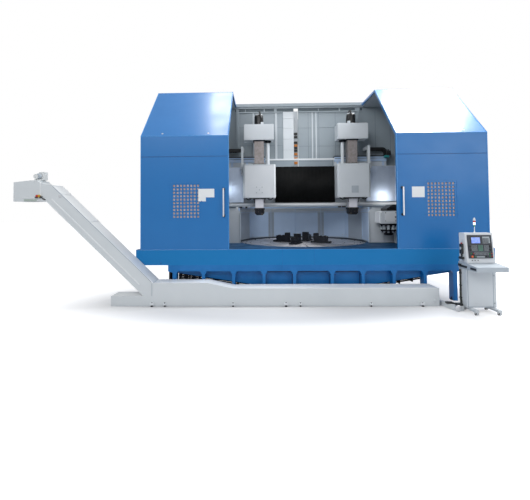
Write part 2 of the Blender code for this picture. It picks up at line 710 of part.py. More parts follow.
def channel_outline(front, back, bottom, top, sheet):
    return [(back, bottom), (front, bottom), (front, top), (back, top),
            (back, top - sheet), (front + sheet, top - sheet),
            (front + sheet, bottom + sheet), (back, bottom + sheet)]


def make_covers(prefix, saddle_edge, outward, carriage):
    inner_bottom = CROSSRAIL_BOTTOM_Z + 2 * COVER_TOP_INSET + COVER_SHEET
    inner_top = CROSSRAIL_TOP_Z - 2 * COVER_TOP_INSET - COVER_SHEET
    inner_front = GUIDE_FRONT_Y - SLIDE_CLEARANCE - COVER_SHEET
    fixed = channel_outline(inner_front, CROSSRAIL_FRONT_Y - SEAT_GAP, inner_bottom,
                            inner_top, COVER_SHEET)
    span = sorted((outward * COLUMN_OUTER_X, outward * (COLUMN_OUTER_X - FIXED_COVER_LENGTH)))
    prism(f"{prefix}_fixed_cover", fixed, span[0], span[1], "X", bright_steel())
    outer_front = inner_front - SLIDE_CLEARANCE - COVER_SHEET
    sliding = channel_outline(outer_front, CROSSRAIL_FRONT_Y - SLIDE_CLEARANCE,
                              inner_bottom - SLIDE_CLEARANCE - COVER_SHEET,
                              inner_top + SLIDE_CLEARANCE + COVER_SHEET, COVER_SHEET)
    start = saddle_edge + outward * SEAT_GAP
    span = sorted((start, start + outward * SLIDING_COVER_LENGTH))
    cover = prism(f"{prefix}_sliding_cover", sliding, span[0], span[1], "X", bright_steel())
    carry(carriage, [cover])


def make_chain(prefix, saddle_edge, outward, carriage):
    lower_bottom = CROSSRAIL_TOP_Z + CHAIN_TRAY_HEIGHT + SEAT_GAP
    upper_bottom = chain_upper_z()
    centre_z = (lower_bottom + upper_bottom + CHAIN_HEIGHT) / 2
    outer_radius = upper_bottom + CHAIN_HEIGHT - centre_z
    inner_radius = outer_radius - CHAIN_HEIGHT
    start = saddle_edge + outward * (CHAIN_ARM_THICKNESS + SEAT_GAP)
    bend = outward * CHAIN_BEND_X
    anchor = outward * CHAIN_ANCHOR_X
    outline = [(start, centre_z + inner_radius), (start, centre_z + outer_radius)]
    for step in range(CHAIN_BEND_SEGMENTS + 1):
        angle = math.pi / 2 - math.pi * step / CHAIN_BEND_SEGMENTS
        outline.append((bend + outward * outer_radius * math.cos(angle),
                        centre_z + outer_radius * math.sin(angle)))
    outline.append((anchor, centre_z - outer_radius))
    outline.append((anchor, centre_z - inner_radius))
    for step in range(CHAIN_BEND_SEGMENTS + 1):
        angle = -math.pi / 2 + math.pi * step / CHAIN_BEND_SEGMENTS
        outline.append((bend + outward * inner_radius * math.cos(angle),
                        centre_z + inner_radius * math.sin(angle)))
    chain = prism(f"{prefix}_cable_chain", outline, CHAIN_FRONT_Y,
                  CHAIN_FRONT_Y + CHAIN_WIDTH, "Y", black_plastic())
    carry(carriage, [chain])


def make_guards():
    bottom = DECK_TOP_Z + SEAT_GAP
    top = CROSSRAIL_BOTTOM_Z - RAIL_SHELF_THICKNESS - GUARD_TOP_GAP
    start = REAR_GUARD_START
    step = REAR_GUARD_STEP
    inner_radius = REAR_GUARD_APOTHEM / math.cos(step / 2)
    outer_radius = (REAR_GUARD_APOTHEM + GUARD_SHEET) / math.cos(step / 2)
    angles = [start + step * number for number in range(REAR_GUARD_PANELS + 1)]
    outline = [(outer_radius * math.cos(a), outer_radius * math.sin(a)) for a in angles]
    outline += [(inner_radius * math.cos(a), inner_radius * math.sin(a))
                for a in reversed(angles)]
    prism("rear_guard", outline, bottom, top, "Z", guard_paint())
    inner_x = inner_radius * math.cos(start) - GUARD_SHEET
    outer_x = HOOD_OUTER_X - SIDE_WALL_INSET - SIDE_WALL_THICKNESS - SEAT_GAP
    for side, name in ((-1, "left_guard_panel"), (1, "right_guard_panel")):
        shape = [(inner_x, bottom), (outer_x, bottom), (outer_x, top),
                 (inner_x + GUARD_PANEL_CHAMFER, top), (inner_x, top - GUARD_PANEL_CHAMFER)]
        prism(name, [(side * x, z) for x, z in shape], GUARD_PANEL_Y - GUARD_SHEET,
              GUARD_PANEL_Y, "Y", guard_paint())


def hood_line(inset, foot_z, back_y):
    """Bent front, slope and roof of a hood, moved inwards by inset, as (y, z) points."""
    rise = HOOD_TOP_Z - HOOD_SHOULDER_Z
    run = HOOD_RIDGE_Y - HOOD_FRONT_Y
    slope = math.hypot(run, rise)
    front = HOOD_FRONT_Y + inset
    top = HOOD_TOP_Z - inset
    drop = inset * slope / run
    shoulder_z = HOOD_SHOULDER_Z - drop + (front - HOOD_FRONT_Y) * rise / run
    ridge_y = HOOD_FRONT_Y + (top - HOOD_SHOULDER_Z + drop) * run / rise
    return [(front, foot_z), (front, shoulder_z), (ridge_y, top), (back_y, top)]


def bent_sheet(name, outer_inset, thickness, foot_z, back_y, span, material):
    outer = hood_line(outer_inset, foot_z, back_y)
    inner = hood_line(outer_inset + thickness, foot_z, back_y)
    return prism(name, outer + inner[::-1], span[0], span[1], "X", material)


def make_hood(prefix, side):
    slide = joint_empty(f"{prefix}_hood_slide", (side * HOOD_INNER_X, HOOD_FRONT_Y, DECK_TOP_Z))
    foot = DECK_TOP_Z + RUNNING_GAP
    hood = bent_sheet(f"{prefix}_hood", 0.0, HOOD_SHEET, foot, HOOD_BACK_Y,
                      mirrored((HOOD_INNER_X, HOOD_OUTER_X), side), blue_paint())
    lip = bent_sheet(f"{prefix}_hood_lip", 0.0, HOOD_LIP_DEPTH, foot, HOOD_BACK_Y,
                     mirrored((HOOD_INNER_X, HOOD_INNER_X + HOOD_LIP_WIDTH), side),
                     blue_paint())
    weld(hood, [lip])
    half_width = VENT_COLUMNS * VENT_PITCH / 2 + VENT_BORDER
    height = VENT_ROWS * VENT_PITCH + 2 * VENT_BORDER
    window = block(f"{prefix}_vent_window",
                   mirrored((VENT_CENTRE_X - half_width, VENT_CENTRE_X + half_width), side),
                   (HOOD_FRONT_Y - HOOD_SHEET, HOOD_FRONT_Y + 2 * HOOD_SHEET),
                   (VENT_BOTTOM_Z, VENT_BOTTOM_Z + height), blue_paint())
    cut(hood, [window])
    vent = make_vent(prefix, side, half_width - SEAT_GAP, height)
    handle = make_handle(prefix, side)
    carry(slide, [hood, vent, handle])


def make_vent(prefix, side, half_width, height):
    """A punched plate: every bar of the grid is one strip of the face, holes between."""
    builder = bmesh.new()
    inset = (VENT_PITCH - VENT_HOLE) / 2
    left = side * VENT_CENTRE_X - half_width
    bottom = VENT_BOTTOM_Z + SEAT_GAP
    columns = [left]
    for column in range(VENT_COLUMNS):
        start = side * VENT_CENTRE_X + (column - VENT_COLUMNS / 2) * VENT_PITCH + inset
        columns += [start, start + VENT_HOLE]
    columns.append(left + 2 * half_width)
    rows = [bottom]
    for row in range(VENT_ROWS):
        start = VENT_BOTTOM_Z + VENT_BORDER + row * VENT_PITCH + inset
        rows += [start, start + VENT_HOLE]
    rows.append(VENT_BOTTOM_Z + height - SEAT_GAP)
    front = HOOD_FRONT_Y + (HOOD_SHEET - VENT_PLATE_THICKNESS) / 2
    grid = [[builder.verts.new((x, front, z)) for x in columns] for z in rows]
    for row in range(len(rows) - 1):
        for column in range(len(columns) - 1):
            if row % 2 == 1 and column % 2 == 1:
                continue
            builder.faces.new((grid[row][column], grid[row][column + 1],
                               grid[row + 1][column + 1], grid[row + 1][column]))
    swept = bmesh.ops.extrude_face_region(builder, geom=builder.faces[:])
    moved = [item for item in swept["geom"] if isinstance(item, bmesh.types.BMVert)]
    bmesh.ops.translate(builder, verts=moved, vec=(0, VENT_PLATE_THICKNESS, 0))
    bmesh.ops.dissolve_limit(builder, angle_limit=0.01, verts=builder.verts[:],
                             edges=builder.edges[:], delimit={"NORMAL"})
    return object_from(f"{prefix}_vent_plate", builder, blue_paint())


def make_handle(prefix, side):
    near = HOOD_FRONT_Y - SEAT_GAP
    far = near - HANDLE_REACH
    top = HANDLE_BOTTOM_Z + HANDLE_LENGTH
    outline = [(near, HANDLE_BOTTOM_Z), (far, HANDLE_BOTTOM_Z), (far, top), (near, top),
               (near, top - HANDLE_BAR), (far + HANDLE_BAR, top - HANDLE_BAR),
               (far + HANDLE_BAR, HANDLE_BOTTOM_Z + HANDLE_BAR),
               (near, HANDLE_BOTTOM_Z + HANDLE_BAR)]
    span = mirrored((HANDLE_X - HANDLE_BAR / 2, HANDLE_X + HANDLE_BAR / 2), side)
    return prism(f"{prefix}_hood_handle", outline, span[0], span[1], "X", bright_steel())


def make_housing(prefix, side):
    inset = HOOD_SHEET + HOUSING_CLEARANCE
    foot = DECK_TOP_Z + SEAT_GAP
    back = SCREEN_Y - SEAT_GAP
    outer = HOOD_OUTER_X - SIDE_WALL_INSET
    wall_inner = outer - SIDE_WALL_THICKNESS
    start = HOOD_INNER_X + HOOD_LIP_WIDTH + SLIDE_CLEARANCE
    bent_sheet(f"{prefix}_housing_shell", inset, HOUSING_SHEET, foot, back,
               mirrored((start, wall_inner - SEAT_GAP), side), guard_paint())
    outline = hood_line(inset, foot, back) + [(back, foot)]
    span = mirrored((wall_inner, outer), side)
    prism(f"{prefix}_side_wall", outline, span[0], span[1], "X", blue_paint())


def make_screens():
    foot = DECK_TOP_Z + SEAT_GAP
    sill = CROSSRAIL_TOP_Z + SEAT_GAP
    outer = HOOD_OUTER_X - SIDE_WALL_INSET
    pass_x = COLUMN_OUTER_X + SLIDE_CLEARANCE
    for side, name, edge in ((-1, "left_back_screen", SCREEN_GAP_LEFT_X),
                             (1, "right_back_screen", SCREEN_GAP_RIGHT_X)):
        outline = [(side * outer, foot), (side * pass_x, foot), (side * pass_x, sill),
                   (edge, sill), (edge, SCREEN_TOP_Z), (side * outer, SCREEN_TOP_Z)]
        prism(name, outline, SCREEN_Y, SCREEN_Y + SCREEN_THICKNESS, "Y", grey_paint())
    bottom = SCREEN_TOP_Z + SEAT_GAP
    block("top_rail", (-outer, outer), (TOP_RAIL_FRONT_Y, TOP_RAIL_FRONT_Y + TOP_RAIL_DEPTH),
          (bottom, bottom + TOP_RAIL_HEIGHT), grey_paint())


def make_magazine():
    """The tool changer: an enclosed drive on a post, with its tools hanging under it."""
    left = MAGAZINE_X - MAGAZINE_WIDTH / 2
    right = MAGAZINE_X + MAGAZINE_WIDTH / 2
    front = MAGAZINE_Y - MAGAZINE_DEPTH / 2
    back = MAGAZINE_Y + MAGAZINE_DEPTH / 2
    body_bottom = MAGAZINE_BOTTOM_Z + MAGAZINE_STAND_HEIGHT
    body_top = body_bottom + MAGAZINE_BODY_HEIGHT
    post = block("magazine_post", (right - MAGAZINE_POST_WIDTH, right), (front, back),
                 (MAGAZINE_BOTTOM_Z, body_bottom + MAGAZINE_POST_WIDTH), grey_paint())
    shell = [(left, body_bottom), (right, body_bottom), (right, body_top),
             (left + MAGAZINE_NOSE_SLOPE, body_top), (left, body_top - MAGAZINE_NOSE_SLOPE)]
    housing = prism("magazine_housing", shell, front, back, "Y", grey_paint())
    weld(housing, [post])
    hood_bottom = body_top + SEAT_GAP
    hood_top = hood_bottom + MAGAZINE_HOOD_HEIGHT
    slope = left + MAGAZINE_WIDTH / 4
    outline = [(slope, hood_bottom), (right, hood_bottom), (right, hood_top),
               (slope + MAGAZINE_HOOD_HEIGHT, hood_top), (slope, hood_bottom + MAGAZINE_NOSE_SLOPE)]
    prism("magazine_hood", outline, front, back, "Y", black_plastic())
    shank_circle = CAROUSEL_RADIUS - TOOL_SHANK_RADIUS * 1.3
    centre = (left + CAROUSEL_RADIUS + MAGAZINE_NOSE_SLOPE, MAGAZINE_Y, 0.0)
    disc_top = body_bottom - SEAT_GAP
    disc_bottom = disc_top - CAROUSEL_THICKNESS
    carousel = cylinder("magazine_carousel", CAROUSEL_RADIUS, disc_bottom, disc_top, 30,
                        centre, "Z", black_steel())
    shanks = []
    for number in range(CAROUSEL_TOOLS):
        angle = 2 * math.pi * number / CAROUSEL_TOOLS
        place = (centre[0] + shank_circle * math.cos(angle),
                 centre[1] + shank_circle * math.sin(angle), 0.0)
        shanks.append(cylinder(f"shank_{number}", TOOL_SHANK_RADIUS,
                               disc_bottom - TOOL_SHANK_LENGTH,
                               disc_bottom + CAROUSEL_THICKNESS / 2, 12, place, "Z",
                               black_steel()))
    weld(carousel, shanks)


def make_conveyor():
    span = (CONVEYOR_FRONT_Y, CONVEYOR_BACK_Y)
    run = INCLINE_FOOT_X - INCLINE_SHOULDER_X
    rise = INCLINE_SHOULDER_Z - HOUSING_TOP_Z
    length = math.hypot(run, rise)
    low_foot = (INCLINE_FOOT_X - rise / length * INCLINE_THICKNESS,
                HOUSING_TOP_Z - run / length * INCLINE_THICKNESS)
    trough = [(SUMP_LEFT_X, 0.0), (TROUGH_RIGHT_X, 0.0), (TROUGH_RIGHT_X, TROUGH_HEIGHT),
              (HOUSING_RISE_X, TROUGH_HEIGHT), (HOUSING_RIGHT_X, HOUSING_TOP_Z),
              (INCLINE_FOOT_X, HOUSING_TOP_Z), (INCLINE_FOOT_X, SUMP_HEIGHT),
              (SUMP_LEFT_X, SUMP_HEIGHT)]
    prism("conveyor_trough", trough, span[0], span[1], "Y", grey_paint())
    joint_x = INCLINE_FOOT_X - SEAT_GAP
    foot_z = SUMP_HEIGHT + SEAT_GAP
    meet_x = low_foot[0] + (low_foot[1] - foot_z) * run / rise
    bottom_x = low_foot[0] - (DISCHARGE_BOTTOM_Z - low_foot[1]) * run / rise
    incline = [(joint_x, foot_z), (joint_x, HOUSING_TOP_Z),
               (INCLINE_SHOULDER_X, INCLINE_SHOULDER_Z), (bottom_x, DISCHARGE_BOTTOM_Z),
               (meet_x, foot_z)]
    prism("conveyor_incline", incline, span[0], span[1], "Y", grey_paint())
    head = [(INCLINE_SHOULDER_X - SEAT_GAP, INCLINE_SHOULDER_Z)]
    for step in range(1, SHOULDER_SEGMENTS + 1):
        turn = math.pi / 2 * step / SHOULDER_SEGMENTS
        x = INCLINE_SHOULDER_X + (DISCHARGE_CROWN_RIGHT_X - INCLINE_SHOULDER_X) * math.sin(turn)
        z = DISCHARGE_TOP_Z - (DISCHARGE_TOP_Z - INCLINE_SHOULDER_Z) * math.cos(turn)
        head.append((x, z))
    head += [(DISCHARGE_CROWN_LEFT_X, DISCHARGE_TOP_Z),
             (DISCHARGE_LEFT_X, DISCHARGE_TOP_Z - DISCHARGE_NOSE_DROP),
             (DISCHARGE_LEFT_X, DISCHARGE_BOTTOM_Z), (bottom_x - SEAT_GAP, DISCHARGE_BOTTOM_Z)]
    casing = prism("conveyor_head", head, span[0], span[1], "Y", grey_paint())
    chute = block("discharge_chute", (CHUTE_LEFT_X, CHUTE_RIGHT_X),
                  (span[0] + CHUTE_WALL, span[1] - CHUTE_WALL),
                  (DISCHARGE_BOTTOM_Z - CHUTE_DEPTH, DISCHARGE_BOTTOM_Z + CHUTE_DEPTH),
                  grey_paint())
    cut(casing, [chute])
    middle = (span[0] + span[1]) / 2
    plate_bottom = DISCHARGE_TOP_Z + SEAT_GAP
    plate_top = plate_bottom + GEARMOTOR_PLATE_THICKNESS
    plate = block("conveyor_gearmotor", (DISCHARGE_CROWN_LEFT_X, DISCHARGE_CROWN_RIGHT_X),
                  (middle - GEARBOX_DEPTH / 2, middle + GEARBOX_DEPTH / 2),
                  (plate_bottom, plate_top), black_plastic())
    gearbox = block("gearbox", (GEARBOX_X - GEARBOX_WIDTH / 2, GEARBOX_X + GEARBOX_WIDTH / 2),
                    (middle - GEARBOX_DEPTH / 3, middle + GEARBOX_DEPTH / 3),
                    (plate_top - GEARMOTOR_PLATE_THICKNESS / 2, plate_bottom + GEARBOX_HEIGHT),
                    black_plastic())
    motor = cylinder("gearmotor_body", GEARMOTOR_RADIUS, -GEARMOTOR_LENGTH / 2,
                     GEARMOTOR_LENGTH / 2, 16,
                     (GEARBOX_X - GEARBOX_WIDTH / 2 - GEARMOTOR_RADIUS / 2, middle,
                      plate_top + GEARMOTOR_RADIUS), "Y", black_plastic())
    weld(plate, [gearbox, motor])


def make_console():
    half = CONSOLE_WIDTH / 2
    front = CONSOLE_Y - CONSOLE_DEPTH / 2
    back = CONSOLE_Y + CONSOLE_DEPTH / 2
    left = CONSOLE_X - half
    right = CONSOLE_X + half
    cabinet = block("console_cabinet", (left, right), (front, back),
                    (CASTER_HEIGHT, DESK_BOTTOM_Z - SEAT_GAP), grey_paint())
    feet = []
    for x in (left + CASTER_SIZE, right - CASTER_SIZE):
        runner = (x - CASTER_SIZE / 2, x + CASTER_SIZE / 2)
        feet.append(block("foot_runner", runner, (front - RUNNER_REACH, back),
                          (CASTER_HEIGHT - RUNNER_HEIGHT, CASTER_HEIGHT + SEAT_GAP),
                          grey_paint()))
        for y in (front - RUNNER_REACH + CASTER_SIZE / 2, back - CASTER_SIZE / 2):
            feet.append(cylinder("caster", CASTER_SIZE / 2, -CASTER_SIZE / 4, CASTER_SIZE / 4,
                                 14, (x, y, CASTER_SIZE / 2), "X", black_plastic()))
    weld(cabinet, feet)
    desk_front = back - DESK_DEPTH
    desk_outline = [(back, DESK_BOTTOM_Z), (back, DESK_BOTTOM_Z + DESK_THICKNESS + DESK_RISE),
                    (front, DESK_BOTTOM_Z + DESK_THICKNESS + DESK_RISE),
                    (desk_front, DESK_BOTTOM_Z + DESK_THICKNESS), (desk_front, DESK_BOTTOM_Z)]
    prism("console_desk", desk_outline, CONSOLE_X - DESK_WIDTH / 2, CONSOLE_X + DESK_WIDTH / 2,
          "X", grey_paint())
    head_front = back - CONSOLE_HEAD_DEPTH
    head_half = CONSOLE_HEAD_WIDTH / 2
    outline = [(back, HEAD_BOTTOM_Z), (back, CONSOLE_TOP_Z),
               (head_front + CONSOLE_HEAD_LEAN, CONSOLE_TOP_Z), (head_front, HEAD_BOTTOM_Z)]
    prism("console_head", outline, CONSOLE_X - head_half, CONSOLE_X + head_half, "X",
          grey_paint())
    height = CONSOLE_TOP_Z - HEAD_BOTTOM_Z
    lean = math.atan2(CONSOLE_HEAD_LEAN, height)
    face = math.hypot(CONSOLE_HEAD_LEAN, height)
    panel = block("console_panel", (-head_half + PANEL_BORDER, head_half - PANEL_BORDER),
                  (-PANEL_THICKNESS - SEAT_GAP, -SEAT_GAP),
                  (PANEL_FOOT, face - PANEL_BORDER), screen_plastic())
    panel.data.transform(Matrix.Translation((CONSOLE_X, head_front, HEAD_BOTTOM_Z))
                         @ Matrix.Rotation(-lean, 4, "X"))
    cylinder("signal_lamp", LAMP_RADIUS, CONSOLE_TOP_Z + SEAT_GAP,
             CONSOLE_TOP_Z + SEAT_GAP + LAMP_HEIGHT, 16, (CONSOLE_X, back - CONSOLE_HEAD_LEAN, 0),
             "Z", amber_plastic())
    duct = [(TROUGH_RIGHT_X + SEAT_GAP, CONVEYOR_BACK_Y - DUCT_WIDTH),
            (TROUGH_RIGHT_X + SEAT_GAP, CONVEYOR_BACK_Y),
            (left - SEAT_GAP - DUCT_WIDTH / 2, back), (left - SEAT_GAP, back),
            (left - SEAT_GAP, back - DUCT_WIDTH), (left - SEAT_GAP - DUCT_WIDTH, back - DUCT_WIDTH)]
    prism("floor_duct", duct, 0.0, DUCT_HEIGHT, "Z", grey_paint())


def make_machine():
    clear_scene()
    make_base()
    make_deck()
    spindle = joint_empty("table_spin", (0, 0, TABLE_BOTTOM_Z))
    carry(spindle, [make_table()] + make_jaws())
    make_columns()
    make_crossrail()
    for prefix, head_x, outward in (("left", LEFT_HEAD_X, -1), ("right", RIGHT_HEAD_X, 1)):
        carriage = make_head(prefix, head_x, outward)
        make_bellows(prefix, head_x - outward * SADDLE_HALF, outward, carriage)
        make_covers(prefix, head_x + outward * SADDLE_HALF, outward, carriage)
        make_chain(prefix, head_x + outward * SADDLE_HALF, outward, carriage)
        make_hood(prefix, outward)
        make_housing(prefix, outward)
    make_guards()
    make_screens()
    make_magazine()
    make_conveyor()
    make_console()


make_machine()
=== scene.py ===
"""Looks of a large double-column vertical turning lathe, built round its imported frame.

Metres, +Z up, the origin on the floor under the table's axis. The frame gives every rigid
part. This script gives each of them its finish and adds the small parts that ride on them.
"""
import math

import bmesh
import bpy
from mathutils import Matrix, Vector


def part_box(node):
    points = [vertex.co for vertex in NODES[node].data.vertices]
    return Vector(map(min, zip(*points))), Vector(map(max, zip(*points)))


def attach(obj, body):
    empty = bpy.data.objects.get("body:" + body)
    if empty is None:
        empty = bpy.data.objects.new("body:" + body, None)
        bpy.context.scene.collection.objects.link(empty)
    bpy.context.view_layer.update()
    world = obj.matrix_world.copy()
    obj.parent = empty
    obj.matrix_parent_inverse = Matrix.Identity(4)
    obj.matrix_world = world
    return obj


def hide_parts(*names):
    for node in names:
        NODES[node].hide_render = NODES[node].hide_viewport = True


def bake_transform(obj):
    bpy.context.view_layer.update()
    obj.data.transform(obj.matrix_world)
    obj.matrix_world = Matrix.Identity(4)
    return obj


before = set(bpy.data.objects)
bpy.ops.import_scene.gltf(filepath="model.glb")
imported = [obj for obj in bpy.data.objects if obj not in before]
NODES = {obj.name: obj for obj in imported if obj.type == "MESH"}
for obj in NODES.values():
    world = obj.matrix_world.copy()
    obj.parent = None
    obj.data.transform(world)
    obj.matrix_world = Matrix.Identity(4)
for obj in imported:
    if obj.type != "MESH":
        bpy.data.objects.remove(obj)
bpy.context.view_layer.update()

# The photograph's camera, as fitted to the edges of the hoods, deck and trough
IMAGE_WIDTH = 530
IMAGE_HEIGHT = 500
CAMERA_PLACE = (-1.188, -10.50, 2.052)
CAMERA_YAW_DEG = 1.477
CAMERA_PITCH_DEG = 1.747
CAMERA_ROLL_DEG = -0.428
FOCAL_PX = 354.64
CENTRE_PX = (251.8, 200.6)
SENSOR_MM = 36.0


# Small helpers for finishes

def linear(hex_colour):
    """sRGB hex to the linear colour that a shader takes."""
    channels = [int(hex_colour[i:i + 2], 16) / 255 for i in (0, 2, 4)]
    spread = [c / 12.92 if c <= 0.04045 else ((c + 0.055) / 1.055) ** 2.4 for c in channels]
    return (*spread, 1.0)


def add(tree, kind, inputs=None, **settings):
    """Adds one node with its settings and fills its inputs.

    An input takes a plain value, a socket, a node (which stands for its first output), or a
    list of these where several sources go into one socket.
    """
    made = tree.nodes.new(kind)
    for name, value in settings.items():
        setattr(made, name, value)
    for name, given in (inputs or {}).items():
        for source in given if isinstance(given, list) else [given]:
            if isinstance(source, bpy.types.Node):
                source = source.outputs[0]
            if isinstance(source, bpy.types.NodeSocket):
                tree.links.new(source, made.inputs[name])
            else:
                made.inputs[name].default_value = source
    return made


def new_finish(name, roughness, metallic=0.0, **values):
    made = bpy.data.materials.new(name)
    made.use_nodes = True
    shader = made.node_tree.nodes["Principled BSDF"]
    shader.inputs["Roughness"].default_value = roughness
    shader.inputs["Metallic"].default_value = metallic
    for socket, value in values.items():
        shader.inputs[socket.replace("_", " ")].default_value = value
    return made, made.node_tree, shader


def mottle(tree, shader, colour, shade, patch_mm, amount):
    """Two close colours that change over patches of the given size."""
    place = add(tree, "ShaderNodeTexCoord").outputs["Object"]
    noise = add(tree, "ShaderNodeTexNoise",
                {"Vector": place, "Scale": 1000 / patch_mm, "Detail": 4.0})
    level = add(tree, "ShaderNodeMapRange",
                {"Value": noise, "From Min": 0.3, "From Max": 0.7, "To Max": amount})
    mix = add(tree, "ShaderNodeMix", {"Factor": level}, data_type="RGBA")
    for socket in mix.inputs:
        if socket.type == "RGBA":
            socket.default_value = linear(colour if socket.name == "A" else shade)
    tree.links.new(mix.outputs[2], shader.inputs["Base Color"])
    return place, noise, mix


def relief(tree, shader, place, grain_mm, depth_mm, detail=2.0):
    """A fine bump of the given grain and depth."""
    noise = add(tree, "ShaderNodeTexNoise",
                {"Vector": place, "Scale": 1000 / grain_mm, "Detail": detail})
    bump = add(tree, "ShaderNodeBump",
               {"Height": noise, "Strength": 1.0, "Distance": depth_mm / 1000})
    tree.links.new(bump.outputs["Normal"], shader.inputs["Normal"])


def worn_gloss(tree, shader, noise, smooth, rough):
    """Lets the roughness wander between two values, as hands and dust leave it."""
    level = add(tree, "ShaderNodeMapRange", {"Value": noise, "From Min": 0.35, "From Max": 0.65,
                                             "To Min": smooth, "To Max": rough})
    tree.links.new(level.outputs["Result"], shader.inputs["Roughness"])


def change_with_height(tree, place, noise, mix, low, high):
    """Lets a mottle's second colour come in from low to high instead, still a little blotchy."""
    parts = add(tree, "ShaderNodeSeparateXYZ", {"Vector": place})
    height = add(tree, "ShaderNodeMapRange",
                 {"Value": parts.outputs["Z"], "From Min": low, "From Max": high})
    blotch = add(tree, "ShaderNodeMapRange", {"Value": noise, "From Min": 0.3, "From Max": 0.7,
                                              "To Min": 0.88, "To Max": 1.0})
    share = add(tree, "ShaderNodeMath", {0: height, 1: blotch}, operation="MULTIPLY")
    tree.links.new(share.outputs["Value"], mix.inputs["Factor"])


# Finishes

RAM_CLEAN_BELOW_Z = 3.05
RAM_DULL_ABOVE_Z = 3.40


def sprayed_enamel(name, colour, shade, smooth=0.30, rough=0.42, sheet_mm=900, wave_mm=1.2):
    """Two-pack enamel sprayed on folded sheet steel.

    The eye sees an even colour with a soft gloss, which the slight waves of the sheet break
    up. The waves are about 0.9 m long, far coarser than orange peel, which would not show.
    """
    made, tree, shader = new_finish(name, smooth, IOR=1.45, Coat_Weight=0.15,
                                    Coat_Roughness=0.16)
    place, noise, _ = mottle(tree, shader, colour, shade, 700, 0.6)
    relief(tree, shader, place, sheet_mm, wave_mm, 1.0)
    worn_gloss(tree, shader, noise, smooth, rough)
    return made


def cast_enamel(name, colour, shade):
    """Filled and painted iron casting: a thicker, duller coat with a faint hammered grain.

    The grain is drawn at 40 mm, coarser than the real 5 mm, so that it shows at all.
    """
    made, tree, shader = new_finish(name, 0.45, IOR=1.42, Coat_Weight=0.05,
                                    Coat_Roughness=0.30)
    place, noise, _ = mottle(tree, shader, colour, shade, 350, 0.8)
    relief(tree, shader, place, 40, 0.5)
    worn_gloss(tree, shader, noise, 0.40, 0.55)
    return made


def top_shaded_enamel(name, colour, top_shade, top):
    """Cast enamel whose top is painted darker than its front, as painted shade."""
    made, tree, shader = new_finish(name, 0.50, IOR=1.42, Specular_IOR_Level=0.3)
    place, noise, mix = mottle(tree, shader, colour, top_shade, 350, 0.8)
    change_with_height(tree, place, noise, mix, top - 0.004, top - 0.001)
    relief(tree, shader, place, 40, 0.5)
    worn_gloss(tree, shader, noise, 0.45, 0.60)
    return made


def ground_steel(name, colour, shade, roughness, grain=(1.0, 1.0, 0.03), metallic=1.0):
    """Ground and hardened steel: long fine scratches that draw out the highlight."""
    made, tree, shader = new_finish(name, roughness, metallic)
    place = mottle(tree, shader, colour, shade, 260, 0.7)[0]
    stretch = add(tree, "ShaderNodeMapping", {"Vector": place, "Scale": grain})
    scratches = add(tree, "ShaderNodeTexNoise",
                    {"Vector": stretch, "Scale": 90.0, "Detail": 3.0})
    bump = add(tree, "ShaderNodeBump", {"Height": scratches, "Strength": 0.35, "Distance": 0.002})
    tree.links.new(bump.outputs["Normal"], shader.inputs["Normal"])
    worn_gloss(tree, shader, scratches, roughness * 0.8, roughness * 1.3)
    return made


def brushed_stainless(name, colour, shade):
    """Brushed stainless sheet: fine lines along the sheet and cloudy, cool reflections."""
    return ground_steel(name, colour, shade, 0.40, (0.03, 1.0, 1.0), 0.7)


def ram_steel(name, ground, dull):
    """Ground ram: clean and pale where it runs through the head, browner with old oil above."""
    made, tree, shader = new_finish(name, 0.48, 0.35)
    place, noise, mix = mottle(tree, shader, ground, dull, 60, 1.0)
    change_with_height(tree, place, noise, mix, RAM_CLEAN_BELOW_Z, RAM_DULL_ABOVE_Z)
    relief(tree, shader, place, 30, 0.3)
    worn_gloss(tree, shader, noise, 0.40, 0.60)
    return made


def turned_face(name, colour, shade):
    """Face-turned grey iron: fine grooves round the axis, which draw the light out into a fan.

    The rings that show as relief are drawn far coarser than the real feed marks.
    """
    made, tree, shader = new_finish(name, 0.42, 0.85, Anisotropic=0.75,
                                    Anisotropic_Rotation=0.25)
    grooves = add(tree, "ShaderNodeTangent", direction_type="RADIAL", axis="Z")
    tree.links.new(grooves.outputs["Tangent"], shader.inputs["Tangent"])
    place, noise, _ = mottle(tree, shader, colour, shade, 420, 0.9)
    rings = add(tree, "ShaderNodeTexWave",
                {"Vector": place, "Scale": 5.2, "Distortion": 0.3, "Detail": 1.0,
                 "Detail Scale": 2.0},
                wave_type="RINGS", rings_direction="Z", wave_profile="SIN")
    bump = add(tree, "ShaderNodeBump",
               {"Height": rings.outputs["Fac"], "Strength": 0.5, "Distance": 0.0012})
    tree.links.new(bump.outputs["Normal"], shader.inputs["Normal"])
    worn_gloss(tree, shader, noise, 0.34, 0.52)
    return made


def oxide_steel(name, colour, shade, roughness=0.45):
    """Oil-blackened steel: dark with a dull metallic edge, browner where the oil is worn."""
    made, tree, shader = new_finish(name, roughness, 0.7)
    place, noise, _ = mottle(tree, shader, colour, shade, 90, 0.8)
    relief(tree, shader, place, 12, 0.15)
    worn_gloss(tree, shader, noise, roughness * 0.8, roughness * 1.25)
    return made


def coated_cloth(name, colour, shade):
    """Polyurethane-coated bellows cloth: near black, with a fine weave under the coat.

    The weave is drawn at 12 mm, where the real threads lie 0.6 mm apart.
    """
    made, tree, shader = new_finish(name, 0.75, Specular_IOR_Level=0.2)
    place, noise, _ = mottle(tree, shader, colour, shade, 300, 0.8)
    weave = add(tree, "ShaderNodeTexWave", {"Vector": place, "Scale": 26.0, "Distortion": 0.4},
                bands_direction="DIAGONAL")
    bump = add(tree, "ShaderNodeBump",
               {"Height": weave.outputs["Fac"], "Strength": 0.3, "Distance": 0.0008})
    tree.links.new(bump.outputs["Normal"], shader.inputs["Normal"])
    worn_gloss(tree, shader, noise, 0.68, 0.82)
    return made


